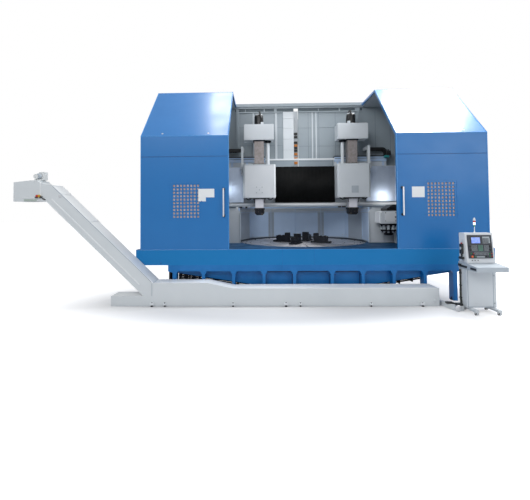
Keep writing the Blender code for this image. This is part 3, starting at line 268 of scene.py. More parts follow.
def moulded_plastic(name, colour, shade, roughness=0.45, grain_mm=6.0):
    """Injection-moulded polyamide or ABS with a spark-eroded texture."""
    made, tree, shader = new_finish(name, roughness, IOR=1.49)
    place, noise, _ = mottle(tree, shader, colour, shade, 120, 0.6)
    relief(tree, shader, place, grain_mm, 0.12)
    worn_gloss(tree, shader, noise, roughness * 0.85, roughness * 1.15)
    return made


def glowing_cover(name, colour, strength):
    """An opal cover that glows: on the displays and the signal lamp from a lamp behind it, on the
    hoods' vent filters as painted light.
    """
    made, tree, shader = new_finish(name, 0.5, IOR=1.49)
    mottle(tree, shader, colour, "FFFFFF", 60, 0.4)
    shader.inputs["Emission Color"].default_value = linear(colour)
    shader.inputs["Emission Strength"].default_value = strength
    return made


FINISHES = {
    "hood_blue": sprayed_enamel("Hood enamel, sprayed sheet", "0369AC", "0262A3"),
    # The deck's top colour, 042F50, is painted shade on the deck's top face.
    "top_shaded_deck": top_shaded_enamel("Deck enamel, top painted darker as shade", "1775B3", "042F50",
                                 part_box("deck")[1][2]),
    "deck_blue": cast_enamel("Base enamel, painted casting", "056BAF", "0463A4"),
    "machine_grey": sprayed_enamel("Light grey enamel, sprayed plate", "CBD1D6", "C0C7CD",
                                   0.34, 0.48, 600, 0.6),
    "casting_grey": cast_enamel("Light grey enamel, painted casting", "C2C9CF", "B4BCC3"),
    "conveyor_grey": sprayed_enamel("Conveyor enamel, folded plate", "D2D7DA", "C8CED2",
                                    0.36, 0.50, 500, 0.5),
    "inner_grey": sprayed_enamel("Inner panel enamel, folded sheet", "AEB7BF", "A1ABB4",
                                 0.36, 0.52, 700, 0.8),
    # The guard's blue tint is partly its own colour and partly a painted reflection of the blue
    # machine.
    "guard_grey": sprayed_enamel("Splash guard enamel, sheet", "B0C6E0", "A2B8D4",
                                 0.34, 0.48, 500, 0.8),
    "bright_steel": ground_steel("Ground steel", "C4C6CA", "B4B7BC", 0.36),
    "slideway": ram_steel("Ram slideway, ground below, dull above", "DCDDE4", "807977"),
    # Darker grey; on the rear guard's corners it is painted shade between the facets.
    "facet_grey": sprayed_enamel("Grey enamel, painted shade on the guard's corners", "98A3B0", "8B97A4",
                                 0.45, 0.60, 500, 0.8),
    # Lighter blue than the hoods and deck: a painted highlight along their rounded edges.
    "highlight_blue": sprayed_enamel("Hem and nosing enamel, painted highlight", "3A86C6", "2F7CBC",
                                0.25, 0.35, 600, 0.4),
    "key_grey": moulded_plastic("Key cap, mid grey plastic", "A6AFB4", "99A3A9", 0.4),
    "stainless": brushed_stainless("Stainless cover, brushed", "C8D4E6", "B6C4D8"),
    "turned_iron": turned_face("Grey iron, face-turned", "D8D6DA", "BFC0C8"),
    "black_steel": oxide_steel("Steel, blackened", "1A1E26", "12151C"),
    "cloth": coated_cloth("Bellows cloth, coated", "030506", "06090B"),
    "black_plastic": moulded_plastic("Polyamide, moulded black", "1B1D1F", "232527"),
    "panel_plastic": moulded_plastic("Panel plastic, satin", "2A303B", "232932", 0.36),
    "cap_orange": moulded_plastic("Cable cap, orange plastic", "D98A3A", "CE7C2C", 0.35),
    "lamp_red": moulded_plastic("Button cap, red plastic", "B8262A", "A51F24", 0.28),
    "lamp_green": moulded_plastic("Button cap, green plastic", "2E8B4A", "277A41", 0.28),
    "button_yellow": moulded_plastic("Switch housing, yellow plastic", "D8A92A", "C99B22", 0.35),
    "button_orange": moulded_plastic("Button cap, orange plastic", "E0662A", "D25A22", 0.30),
    "key_green": moulded_plastic("Key cap, green-grey plastic", "66A58C", "5A967E", 0.4),
    "display_pale": glowing_cover("Display lines, pale blue", "8FB0EE", 0.3),
    "connector_teal": moulded_plastic("Connector, teal plastic", "2E8C8E", "287C80", 0.35),
    "pale_plastic": moulded_plastic("Pale grey plastic, satin", "DADDDD", "CDD1D2", 0.35),
    "screen_glass": glowing_cover("Display glass, lit blue", "3F70D8", 0.35),
    # Dark blue: sealer in the hoods' joint, and painted shade in the base's pockets.
    "sealer_and_shade": moulded_plastic("Joint sealer and painted shade, dark blue", "16406E", "123860", 0.6),
    # Dark oily iron for tools and nozzles; on the table it is painted shade of the grooves.
    "dark_iron_and_groove_shade": oxide_steel("Dark oily iron, and painted shade in the table's grooves", "4A4644", "3B3837", 0.5),
    # White foil on the notice plates; on the conveyor's tops, ribs and the shelf's face it is
    # painted light.
    "white_foil_and_painted_light": sprayed_enamel("Bare notice plate, white foil", "E3E6E8", "D9DDDF",
                                   0.35, 0.45, 300, 0.2),
    "panel_white": sprayed_enamel("White sheet, sprayed", "DDE1E5", "D3D8DD",
                                  0.30, 0.42, 500, 0.6),
    "screen_grey": sprayed_enamel("Rear screen enamel, folded sheet", "909BA2", "848F98",
                                  0.36, 0.50, 700, 1.0),
    # Dark enamel put where there is only shade, in gaps and grooves: painted shade.
    "recess_dark": sprayed_enamel("Dark enamel, painted shade in gaps and grooves", "3B4248", "31373D",
                                  0.5, 0.6, 400, 0.4),
    # Slate: dark joints in the screens, and painted shade in the screens' head.
    "recess_slate": sprayed_enamel("Slate enamel, dark joints and painted shade", "4E5B62", "465259",
                                   0.5, 0.6, 400, 0.4),
    "slot_green": sprayed_enamel("Chute lip, grey-green enamel", "A9B5AE", "9FACA4",
                                 0.45, 0.55, 300, 0.4),
    # The vent filters glow by emission with no lamp behind them: painted light.
    "filter_painted_glow": glowing_cover("Filter mat, painted glow of light through the vents", "B08D78", 0.10),
    "lamp_opal": glowing_cover("Opal lamp cover", "F4F6F2", 1.0),
}


# Which finish each rigid part wears

def both(*names):
    return [f"{side}_{name}" for name in names for side in ("left", "right")]


WORN = {
    "hood_blue": both("hood", "vent_plate"),
    "deck_blue": ["machine_base"],
    "top_shaded_deck": ["deck"],
    "machine_grey": both("drive_box", "guard_panel") + ["right_saddle", "magazine_housing",
                                                        "console_cabinet"],
    "casting_grey": both("column") + ["crown_beam", "crossrail"],
    "conveyor_grey": ["conveyor_trough", "conveyor_incline", "conveyor_head", "floor_duct"],
    "inner_grey": both("housing_shell", "side_wall") + ["console_desk"],
    "screen_grey": both("back_screen") + ["top_rail"],
    # The left saddle wears white and the right one grey: lit and shaded copies of one paint,
    # painted light and shade.
    "panel_white": ["left_saddle", "rail_shelf", "console_head"],
    "guard_grey": ["rear_guard"],
    "slideway": both("ram"),
    "bright_steel": both("hood_handle"),
    "stainless": both("sliding_cover", "fixed_cover"),
    "turned_iron": ["rotary_table"],
    "black_steel": both("tool_holder") + [f"chuck_jaw_{n}" for n in range(1, 5)]
                   + ["magazine_carousel"],
    "cloth": both("bellows"),
    "black_plastic": both("cable_chain") + ["magazine_hood"],
    "pale_plastic": ["conveyor_gearmotor"],
    "panel_plastic": ["console_panel"],
    "lamp_red": ["signal_lamp"],
}
for worn_finish, wearers in WORN.items():
    for wearer in wearers:
        for worn_slot in NODES[wearer].material_slots:
            worn_slot.material = FINISHES[worn_finish]


# Small helpers for shapes

SHARP_DEG = 40
FORWARD = (0, -1, 0)
BACKWARD = (0, 1, 0)
UPWARD = (0, 0, 1)
SIDES = (("left", -1), ("right", 1))


def add_block(shape, x, y, z):
    """A box between two values on each axis."""
    made = bmesh.ops.create_cube(shape, size=1.0)
    middle = Vector([(low + high) / 2 for low, high in (x, y, z)])
    size = Matrix.Diagonal([abs(high - low) for low, high in (x, y, z)] + [1.0])
    bmesh.ops.transform(shape, matrix=Matrix.Translation(middle) @ size, verts=made["verts"])


def add_rod(shape, start, end, radius, sides=16, end_radius=None):
    start, end = Vector(start), Vector(end)
    made = bmesh.ops.create_cone(shape, cap_ends=True, segments=sides, radius1=radius,
                                 radius2=radius if end_radius is None else end_radius,
                                 depth=(end - start).length)
    turn = (end - start).to_track_quat("Z", "Y").to_matrix().to_4x4()
    bmesh.ops.transform(shape, matrix=Matrix.Translation((start + end) / 2) @ turn,
                        verts=made["verts"])


def add_drawn(shape, outline, axis, low, high):
    """Draws an outline out: (y, z) along X, (x, z) along Y or (x, y) along Z."""
    places = {"X": lambda a, b, c: (c, a, b), "Y": lambda a, b, c: (a, c, b),
              "Z": lambda a, b, c: (a, b, c)}[axis]
    rings = [[shape.verts.new(places(a, b, c)) for a, b in outline] for c in (low, high)]
    shape.faces.new(rings[0])
    shape.faces.new(rings[1])
    for first in range(len(outline)):
        second = (first + 1) % len(outline)
        shape.faces.new((rings[0][first], rings[0][second], rings[1][second], rings[1][first]))


def add_turned(shape, profile, centre=(0, 0, 0), sides=24):
    """Turns a closed profile of (radius, height) about an upright axis through the centre."""
    rings = []
    for radius, height in profile:
        angles = [2 * math.pi * step / sides for step in range(sides if radius else 1)]
        rings.append([shape.verts.new(Vector(centre) + Vector(
            (radius * math.cos(a), radius * math.sin(a), height))) for a in angles])
    for lower, upper in zip(rings, rings[1:]):
        for step in range(sides):
            after = (step + 1) % sides
            corners = dict.fromkeys([lower[step % len(lower)], lower[after % len(lower)],
                                     upper[after % len(upper)], upper[step % len(upper)]])
            if len(corners) > 2:
                shape.faces.new(list(corners))


def add_pipe(shape, path, radius, sides=10):
    """Sweeps a circle along a path, with flat ends."""
    points = [Vector(point) for point in path]
    rings = []
    side = None
    for number, point in enumerate(points):
        before = points[max(number - 1, 0)]
        after = points[min(number + 1, len(points) - 1)]
        along = (after - before).normalized()
        if side is None:
            side = along.orthogonal().normalized()
        side = (side - along * side.dot(along)).normalized()
        other = along.cross(side)
        angles = [2 * math.pi * step / sides for step in range(sides)]
        rings.append([shape.verts.new(point + radius * (math.cos(a) * side + math.sin(a) * other))
                      for a in angles])
    for lower, upper in zip(rings, rings[1:]):
        for step in range(sides):
            after = (step + 1) % sides
            shape.faces.new((lower[step], lower[after], upper[after], upper[step]))
    shape.faces.new(rings[0])
    shape.faces.new(rings[-1])


def smooth_path(points, steps=5):
    """A smooth curve through the given points."""
    points = [Vector(point) for point in points]
    ends = [2 * points[0] - points[1]] + points + [2 * points[-1] - points[-2]]
    path = []
    for a, b, c, d in zip(ends, ends[1:], ends[2:], ends[3:]):
        for step in range(steps):
            t = step / steps
            path.append(0.5 * (2 * b + (c - a) * t + (2 * a - 5 * b + 4 * c - d) * t ** 2
                               + (3 * b - a - 3 * c + d) * t ** 3))
    return path + [points[-1]]


def row(first, last, count):
    """Evenly spaced values from first to last."""
    return [first + (last - first) * n / (count - 1) for n in range(count)]


def spans(node):
    """The lowest and highest values of a rigid part on X, Y and Z."""
    low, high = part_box(node)
    return [(low[n], high[n]) for n in range(3)]


def ordered(a, b):
    return (min(a, b), max(a, b))


def about(middle, half):
    """The two values that lie half on either side of a middle."""
    return (middle - half, middle + half)


def on_front(face, *plates):
    """Blocks that stand a little proud of a face turned forward: x, x, z, z and the rise."""
    return [((left, right), (face - rise, face + 0.001), (low, high))
            for left, right, low, high, rise in plates]


def keep(mesh, name, finish, body):
    """Puts a finished mesh into the scene as one piece that rides on a body."""
    mesh.name = name
    mesh.materials.clear()
    mesh.materials.append(FINISHES[finish])
    made = bpy.data.objects.new(name, mesh)
    bpy.context.scene.collection.objects.link(made)
    if body:
        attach(made, body)
    return made


MAKERS = {"blocks": add_block, "rods": add_rod, "drawn": add_drawn, "turned": add_turned,
          "pipes": add_pipe}


def piece(name, finish, bevel=0.0, body="machine", place=None, **parts):
    """One piece out of rows of blocks, rods, drawn outlines, turned parts and pipes."""
    shape = bmesh.new()
    for kind, rows in parts.items():
        for values in rows:
            MAKERS[kind](shape, *values)
    if place:
        bmesh.ops.transform(shape, matrix=place, verts=shape.verts)
    bmesh.ops.remove_doubles(shape, verts=shape.verts, dist=1e-6)
    bmesh.ops.recalc_face_normals(shape, faces=shape.faces)
    mesh = bpy.data.meshes.new(name)
    shape.to_mesh(mesh)
    shape.free()
    mesh.polygons.foreach_set("use_smooth", [True] * len(mesh.polygons))
    mesh.set_sharp_from_angle(angle=math.radians(SHARP_DEG))
    made = keep(mesh, name, finish, body)
    if bevel:
        edge = made.modifiers.new("edge", "BEVEL")
        edge.width = bevel
        edge.segments = 2
        edge.limit_method = "ANGLE"
        edge.angle_limit = math.radians(SHARP_DEG)
    return made


# Geometry node trees for what repeats

def new_tree(name, sizes):
    """A tree with named size inputs; returns it and its entry sockets, seed first, finish last."""
    tree = bpy.data.node_groups.new(name, "GeometryNodeTree")
    face = tree.interface
    face.new_socket("Geometry", in_out="INPUT", socket_type="NodeSocketGeometry")
    for label, value in sizes.items():
        kind = "NodeSocketInt" if isinstance(value, int) else "NodeSocketFloat"
        face.new_socket(label, in_out="INPUT", socket_type=kind).default_value = value
    face.new_socket("Finish", in_out="INPUT", socket_type="NodeSocketMaterial")
    face.new_socket("Geometry", in_out="OUTPUT", socket_type="NodeSocketGeometry")
    return tree, tree.nodes.new("NodeGroupInput").outputs[:len(sizes) + 2]


def close_tree(tree, finish, geometry):
    real = add(tree, "GeometryNodeRealizeInstances", {"Geometry": geometry})
    coated = add(tree, "GeometryNodeSetMaterial", {"Geometry": real, "Material": finish})
    add(tree, "NodeGroupOutput", {"Geometry": coated})
    return tree


def bolt_tree():
    """A hexagon head on a washer at each point, standing along the point's facing."""
    tree, (seed, radius, finish) = new_tree("hexagon_bolts", {"Radius": 0.012})
    height, lift, rim, flat = [add(tree, "ShaderNodeMath", {0: radius, 1: share},
                                   operation="MULTIPLY") for share in (0.9, 0.6, 1.45, 0.4)]
    head = add(tree, "GeometryNodeMeshCylinder",
               {"Vertices": 6, "Radius": radius, "Depth": height})
    shift = add(tree, "ShaderNodeCombineXYZ", {"Z": lift})
    lifted = add(tree, "GeometryNodeTransform", {"Geometry": head, "Translation": shift})
    washer = add(tree, "GeometryNodeMeshCylinder",
                 {"Vertices": 16, "Radius": rim, "Depth": flat})
    bolt = add(tree, "GeometryNodeJoinGeometry", {"Geometry": [lifted, washer]})
    points = add(tree, "GeometryNodeMeshToPoints", {"Mesh": seed})
    facing = add(tree, "GeometryNodeInputNamedAttribute", {"Name": "facing"},
                 data_type="FLOAT_VECTOR")
    turn = add(tree, "FunctionNodeAlignRotationToVector", {"Vector": facing}, axis="Z")
    placed = add(tree, "GeometryNodeInstanceOnPoints",
                 {"Points": points, "Instance": bolt, "Rotation": turn})
    return close_tree(tree, finish, placed)


def pleat_tree():
    """Folded cloth: a zigzag line drawn up to its height."""
    tree, (_, pleats, length, height, depth, finish) = new_tree(
        "bellows_pleats", {"Pleats": 18, "Length": 0.9, "Height": 1.0, "Depth": 0.05})
    folds = add(tree, "ShaderNodeMath", {0: pleats, 1: 2}, operation="MULTIPLY")
    corners = add(tree, "ShaderNodeMath", {0: folds, 1: 1}, operation="ADD")
    step = add(tree, "ShaderNodeMath", {0: length, 1: folds}, operation="DIVIDE")
    line = add(tree, "GeometryNodeMeshLine",
               {"Count": corners, "Offset": add(tree, "ShaderNodeCombineXYZ", {"X": step})})
    index = add(tree, "GeometryNodeInputIndex")
    odd = add(tree, "ShaderNodeMath", {0: index, 1: 2}, operation="MODULO")
    inward = add(tree, "ShaderNodeMath", {0: odd, 1: depth}, operation="MULTIPLY")
    folded = add(tree, "GeometryNodeSetPosition",
                 {"Geometry": line, "Offset": add(tree, "ShaderNodeCombineXYZ", {"Y": inward})})
    raised = add(tree, "GeometryNodeExtrudeMesh",
                 {"Mesh": folded, "Offset": add(tree, "ShaderNodeCombineXYZ", {"Z": height}),
                  "Offset Scale": 1.0}, mode="EDGES")
    return close_tree(tree, finish, raised)


def chain_tree():
    """Cable chain links along a path that lies in an upright plane."""
    tree, (seed, pitch, height, width, wall, finish) = new_tree(
        "chain_links", {"Pitch": 0.09, "Height": 0.09, "Width": 0.14, "Wall": 0.012})
    plate_run, bar_run = [add(tree, "ShaderNodeMath", {0: pitch, 1: share},
                              operation="MULTIPLY") for share in (1.12, 0.55)]
    across, upright = [add(tree, "ShaderNodeMath", {0: whole, 1: wall}, operation="SUBTRACT")
                       for whole in (width, height)]
    parts = []
    for side in (-1, 1):
        for size, axis, reach, share in (
                ({"X": plate_run, "Y": wall, "Z": height}, "Y", across, 0.5 * side),
                ({"X": bar_run, "Y": width, "Z": wall}, "Z", upright, 0.46 * side)):
            cube = add(tree, "GeometryNodeMeshCube",
                       {"Size": add(tree, "ShaderNodeCombineXYZ", size)})
            off = add(tree, "ShaderNodeMath", {0: reach, 1: share}, operation="MULTIPLY")
            shift = add(tree, "ShaderNodeCombineXYZ", {axis: off})
            parts.append(add(tree, "GeometryNodeTransform",
                             {"Geometry": cube, "Translation": shift}))
    link = add(tree, "GeometryNodeJoinGeometry", {"Geometry": parts})
    curve = add(tree, "GeometryNodeMeshToCurve", {"Mesh": seed})
    spaced = add(tree, "GeometryNodeResampleCurve", {"Curve": curve, "Length": pitch},
                 mode="LENGTH")
    turn = add(tree, "FunctionNodeAlignRotationToVector",
               {"Vector": add(tree, "GeometryNodeInputTangent")}, axis="X", pivot_axis="Y")
    placed = add(tree, "GeometryNodeInstanceOnPoints",
                 {"Points": spaced, "Instance": link, "Rotation": turn})
    return close_tree(tree, finish, placed)


def hose_tree():
    """Corrugated hose: rings along a path, with a thinner tube inside them."""
    tree, (seed, radius, pitch, finish) = new_tree("ribbed_hose",
                                                   {"Radius": 0.02, "Pitch": 0.016})
    curve = add(tree, "GeometryNodeMeshToCurve", {"Mesh": seed})
    spaced = add(tree, "GeometryNodeResampleCurve", {"Curve": curve, "Length": pitch},
                 mode="LENGTH")
    depth, bore = [add(tree, "ShaderNodeMath", {0: whole, 1: share}, operation="MULTIPLY")
                   for whole, share in ((pitch, 0.55), (radius, 0.82))]
    ring = add(tree, "GeometryNodeMeshCylinder",
               {"Vertices": 12, "Radius": radius, "Depth": depth})
    turn = add(tree, "FunctionNodeAlignRotationToVector",
               {"Vector": add(tree, "GeometryNodeInputTangent")}, axis="Z")
    rings = add(tree, "GeometryNodeInstanceOnPoints",
                {"Points": spaced, "Instance": ring, "Rotation": turn})
    circle = add(tree, "GeometryNodeCurvePrimitiveCircle", {"Resolution": 10, "Radius": bore})
    tube = add(tree, "GeometryNodeCurveToMesh",
               {"Curve": spaced, "Profile Curve": circle, "Fill Caps": True})
    hose = add(tree, "GeometryNodeJoinGeometry", {"Geometry": [rings, tube]})
    return close_tree(tree, finish, hose)


def key_tree():
    """Rows of keys on a flat field, centred on the origin and standing up along Z."""
    tree, (_, columns, rows, pitch, key, rise, finish) = new_tree(
        "key_field", {"Columns": 6, "Rows": 4, "Pitch": 0.03, "Key": 0.022, "Rise": 0.008})
    gaps = [add(tree, "ShaderNodeMath", {0: count, 1: 1}, operation="SUBTRACT")
            for count in (columns, rows)]
    wide, tall = [add(tree, "ShaderNodeMath", {0: gap, 1: pitch}, operation="MULTIPLY")
                  for gap in gaps]
    grid = add(tree, "GeometryNodeMeshGrid", {"Size X": wide, "Size Y": tall,
                                              "Vertices X": columns, "Vertices Y": rows})
    size = add(tree, "ShaderNodeCombineXYZ", {"X": key, "Y": key, "Z": rise})
    cap = add(tree, "GeometryNodeMeshCube", {"Size": size})
    placed = add(tree, "GeometryNodeInstanceOnPoints", {"Points": grid, "Instance": cap})
    return close_tree(tree, finish, placed)


def fin_tree():
    """Cooling fins: thin discs set one behind another along Z."""
    tree, (_, count, radius, pitch, finish) = new_tree(
        "cooling_fins", {"Count": 8, "Radius": 0.06, "Pitch": 0.02})
    line = add(tree, "GeometryNodeMeshLine",
               {"Count": count, "Offset": add(tree, "ShaderNodeCombineXYZ", {"Z": pitch})})
    depth = add(tree, "ShaderNodeMath", {0: pitch, 1: 0.4}, operation="MULTIPLY")
    disc = add(tree, "GeometryNodeMeshCylinder",
               {"Vertices": 20, "Radius": radius, "Depth": depth})
    placed = add(tree, "GeometryNodeInstanceOnPoints", {"Points": line, "Instance": disc})
    return close_tree(tree, finish, placed)


BOLTS = bolt_tree()
PLEATS = pleat_tree()
CHAIN = chain_tree()
HOSE = hose_tree()
KEYS = key_tree()
FINS = fin_tree()


def grow(name, tree, sizes, finish, body="machine", path=(), place=None, wall=0.0,
         facings=None):
    """Runs a tree on a path or on spots and keeps the plain mesh that comes out of it."""
    mesh = bpy.data.meshes.new("seed")
    lines = [] if facings else [(n, n + 1) for n in range(len(path) - 1)]
    mesh.from_pydata([tuple(point) for point in path], lines, [])
    if facings:
        facing = mesh.attributes.new("facing", "FLOAT_VECTOR", "POINT")
        for number, way in enumerate(facings):
            facing.data[number].vector = way
    seed = bpy.data.objects.new(f"{name}_seed", mesh)
    bpy.context.scene.collection.objects.link(seed)
    modifier = seed.modifiers.new("grow", "NODES")
    modifier.node_group = tree
    inputs = {item.name: item.identifier for item in tree.interface.items_tree
              if item.item_type == "SOCKET" and item.in_out == "INPUT"}
    for label, value in sizes.items():
        modifier[inputs[label]] = value
    modifier[inputs["Finish"]] = FINISHES[finish]
    if wall:
        skin = seed.modifiers.new("wall", "SOLIDIFY")
        skin.thickness = wall
        skin.offset = 1.0
    graph = bpy.context.evaluated_depsgraph_get()
    grown = bpy.data.meshes.new_from_object(seed.evaluated_get(graph))
    bpy.data.objects.remove(seed, do_unlink=True)
    if place:
        grown.transform(place)
    return keep(grown, name, finish, body)


def bolt_on(name, spots, radius, finish, body="machine"):
    """Bolts at (place, facing) spots."""
    grow(name, BOLTS, {"Radius": radius}, finish, body, [place for place, _ in spots],
         facings=[way for _, way in spots])


def spots_at(x, y, z, facing=FORWARD):
    """Spots at every mix of the values, single or several, given on X, Y and Z."""
    x, y, z = [v if isinstance(v, (list, tuple)) else [v] for v in (x, y, z)]
    return [((a, b, c), facing) for a in x for b in y for c in z]


# Sliding hoods

SHOULDER_Z = 3.83
RIDGE_Y = -0.85
HOOD_SEAM_Z = 3.35
HOOD_HEM_RADIUS = 0.010
EYE_PLUG_RADIUS = 0.028
EYE_PLUG_X = (2.415, 3.502)
NOTICE_RISE = 0.002
NOTICES = {"left": [(-2.642, -2.269, 2.386, 2.585), (-2.642, -2.467, 2.294, 2.386)],
           "right": [(2.270, 2.555, 2.349, 2.594)]}


def make_hood_trim(side, sign):
    """Hems, the sheet joint, plugs, vent filter, handle feet and bare notice plates."""
    body = f"{side}_hood_body"
    x, y, z = spans(f"{side}_hood")
    front, inner, outer = y[0], min(x, key=abs), max(x, key=abs)
    piece(f"{side}_hood_seam_lips", "hood_blue", 0.001, body, blocks=[
        (x, (front - 0.003, front + 0.002), (HOOD_SEAM_Z + low, HOOD_SEAM_Z + high))
        for low, high in ((0.0, 0.012), (-0.022, -0.010))])
    piece(f"{side}_hood_seam_joint", "sealer_and_shade", 0.0, body, blocks=[
        (x, (front - 0.0012, front + 0.002), (HOOD_SEAM_Z - 0.010, HOOD_SEAM_Z))])

    hem = HOOD_HEM_RADIUS
    lines = [(front, z[0] + hem), (front, SHOULDER_Z), (RIDGE_Y, z[1] - hem), (y[1], z[1] - hem)]
    # The hems wear a lighter blue: a painted highlight along the hood's edges.
    piece(f"{side}_hood_hems", "highlight_blue", 0.0, body, pipes=[
        *[([(edge, a, b) for a, b in lines], hem, 8)
          for edge in (inner + sign * hem, outer - sign * hem)],
        *[([(x[0], a, b), (x[1], a, b)], hem, 8)
          for a, b in ((front + hem * 0.6, SHOULDER_Z), (RIDGE_Y, z[1] - hem))]])

    slope = (Vector((0, RIDGE_Y, z[1])) - Vector((0, front, SHOULDER_Z))).normalized()
    facing = Vector((0, -slope.z, slope.y))
    feet = [Vector((sign * offset, front, SHOULDER_Z)) + slope * 0.10 for offset in EYE_PLUG_X]
    piece(f"{side}_hood_eye_plugs", "inner_grey", 0.002, body, rods=[
        (foot - facing * 0.004, foot + facing * 0.006, EYE_PLUG_RADIUS, 16,
         EYE_PLUG_RADIUS * 0.7) for foot in feet])

    vent_x, vent_y, vent_z = spans(f"{side}_vent_plate")
    # The filter glows by its own emission: painted light through the vent holes.
    piece(f"{side}_vent_filter", "filter_painted_glow", 0.001, body, blocks=[
        (vent_x, (vent_y[1] + 0.001, vent_y[1] + 0.008), vent_z)])
    bolt_on(f"{side}_vent_screws",
            spots_at((vent_x[0] - 0.015, vent_x[1] + 0.015), front,
                     row(vent_z[0] + 0.08, vent_z[1] - 0.08, 3)), 0.009, "hood_blue", body)

    handle_x, handle_y, handle_z = spans(f"{side}_hood_handle")
    middle = sum(handle_x) / 2
    piece(f"{side}_handle_feet", "black_plastic", 0.002, body, rods=[
        ((middle, start, level), (middle, end, level), *radii)
        for level in (handle_z[0] + 0.016, handle_z[1] - 0.016)
        for start, end, radii in ((front + 0.001, front - 0.012, (0.034, 20, 0.028)),
                                  (front - 0.010, handle_y[0] + 0.012, (0.020, 16)))])
    piece(f"{side}_notice_plates", "white_foil_and_painted_light", 0.001, body,
          blocks=on_front(front, *[(*notice, NOTICE_RISE) for notice in NOTICES[side]]))
    piece(f"{side}_hood_wiper", "black_plastic", 0.002, body, blocks=[
        ((x[0] + 0.02, x[1] - 0.02), (front + 0.034, front + 0.044),
         (z[0] - 0.0005, z[0] + 0.06))])


for hood_side, hood_sign in SIDES:
    make_hood_trim(hood_side, hood_sign)


# Base, deck and guards

DECK_NOSING = 0.007
APRON_SEAM_X = (-0.702, 0.031)
LEG_X = (1.83, 2.53, 3.20)
LEG_Y = (-2.20, 0.20, 2.40)
UNDER_BAND_FOOT = (1.45, 0.36)
UNDER_BAND_TOP = (3.155, 0.62)
RIB_X = (0.43, 1.13, 1.83)
RIB_HALF = 0.035
POCKET_BACK = -2.16
POCKET_BACK_END = 1.45
POCKET_TOP = 0.68
# Upright pipes under the deck's left end: place on X, foot, head and radius
STANDPIPES = ((-3.345, 0.001, 0.675, 0.045), (-3.115, 0.001, 0.60, 0.040),
              (-2.98, 0.36, 0.585, 0.05), (-2.80, 0.36, 0.560, 0.04), (-2.66, 0.36, 0.540, 0.03))
STANDPIPE_Y = -2.06
GUARD_RADIUS = 1.83
GUARD_START_DEG = -18.0
GUARD_STEP_DEG = 27.0
GUARD_HEAD_Z = 2.02
GUARD_SHADED_PLATES = ((1.0, 1.78), (2.88, 3.0, 3.12), (4.88, 5.0, 5.12), (6.12, 7.0))


def make_deck_trim():
    x, y, z = spans("deck")
    level = z[1] - DECK_NOSING
    # The nosing's lighter blue is a painted highlight along the deck's front edge.
    piece("deck_nosing", "highlight_blue", pipes=[
        ([(x[0], y[0] + 0.001, level), (x[1], y[0] + 0.001, level)], DECK_NOSING, 8)])
    piece("apron_weld_seams", "deck_blue", pipes=[
        ([(at, y[0] + 0.0015, 0.70), (at, y[0] + 0.0015, level)], 0.004, 6)
        for at in APRON_SEAM_X])
    bays = [about(0.0, RIB_X[0])]
    for near, far in zip(RIB_X, RIB_X[1:]):
        bays += [(near, far), (-far, -near)]
    # Dark strips at the pockets' tops, sides and corners: painted shade in the recesses.
    shade_strips = []
    for near, far in bays:
        left, right = near + RIB_HALF, far - RIB_HALF
        if max(abs(left), abs(right)) < POCKET_BACK_END:
            back = (POCKET_BACK - 0.006, POCKET_BACK + 0.001)
            shade_strips.append(((left + 0.045, right - 0.045), back,
                          (POCKET_TOP - 0.052, POCKET_TOP - 0.001)))
            shade_strips += [((low + 0.0005, low + 0.0175), back, (0.30, POCKET_TOP - 0.09))
                      for low in (left, right - 0.018)]
        shade_strips += [((low + 0.001, low + 0.044), (y[0] + 0.001, y[0] + 0.010),
                   (POCKET_TOP - 0.092, POCKET_TOP - 0.080)) for low in (left, right - 0.045)]
    piece("pocket_painted_shade", "sealer_and_shade", 0.001, blocks=shade_strips)
    bolt_on("deck_bolts", spots_at((3.52, 3.94, -3.52, -3.94), y[0], z[0] + 0.06), 0.014,
            "deck_blue")


def make_levelling():
    """Levelling feet under the legs, and supply pipes that run up under the band."""
    piece("levelling_feet", "black_steel", 0.003, rods=[
        ((sign * leg, place, low), (sign * leg, place, high), radius, sides)
        for sign in (-1, 1) for leg in LEG_X for place in LEG_Y
        for low, high, radius, sides in ((0.001, 0.030, 0.070, 20), (0.030, 0.075, 0.052, 6))])
    start, foot = UNDER_BAND_FOOT
    rise = (UNDER_BAND_TOP[1] - foot) / (UNDER_BAND_TOP[0] - start)
    pipes, clips = [], []
    for sign, count, reach_end in ((-1, 4, 1.66), (1, 2, 1.10)):
        for number in range(count):
            drop, place = 0.035 + 0.045 * number, -2.00 + 0.02 * number
            pipes.append(([(sign * (start + 0.02 + reach), place, foot + rise * reach - drop)
                           for reach in row(0.0, reach_end, 6)], 0.018, 10))
        for reach in row(0.30, reach_end - 0.20, 3):
            top = foot + rise * reach - 0.002
            clips.append((about(sign * (start + reach), 0.015), (-2.035, -1.90),
                          (top - 0.06 * count, top)))
    piece("supply_pipes", "black_steel", 0.002, pipes=pipes, blocks=clips, rods=[
        ((at, STANDPIPE_Y, low), (at, STANDPIPE_Y, high), radius, 16)
        for at, low, high, radius in STANDPIPES])


def guard_point(number, depth, level=0.0):
    """A point on the polygon of the splash guard, at a corner number that may be a half."""
    angle = math.radians(GUARD_START_DEG + GUARD_STEP_DEG * number)
    offset = abs(number % 1 - 0.5) * math.radians(GUARD_STEP_DEG)
    reach = (GUARD_RADIUS - depth) / math.cos(offset)
    return Vector((reach * math.cos(angle), reach * math.sin(angle), level))


def guard_plate(corners, outer, inner, low, high):
    """A plate that follows the guard's polygon between two depths, drawn up along Z."""
    points = [guard_point(n, outer) for n in corners]
    points += [guard_point(n, inner) for n in reversed(corners)]
    return [(p.x, p.y) for p in points], "Z", low, high


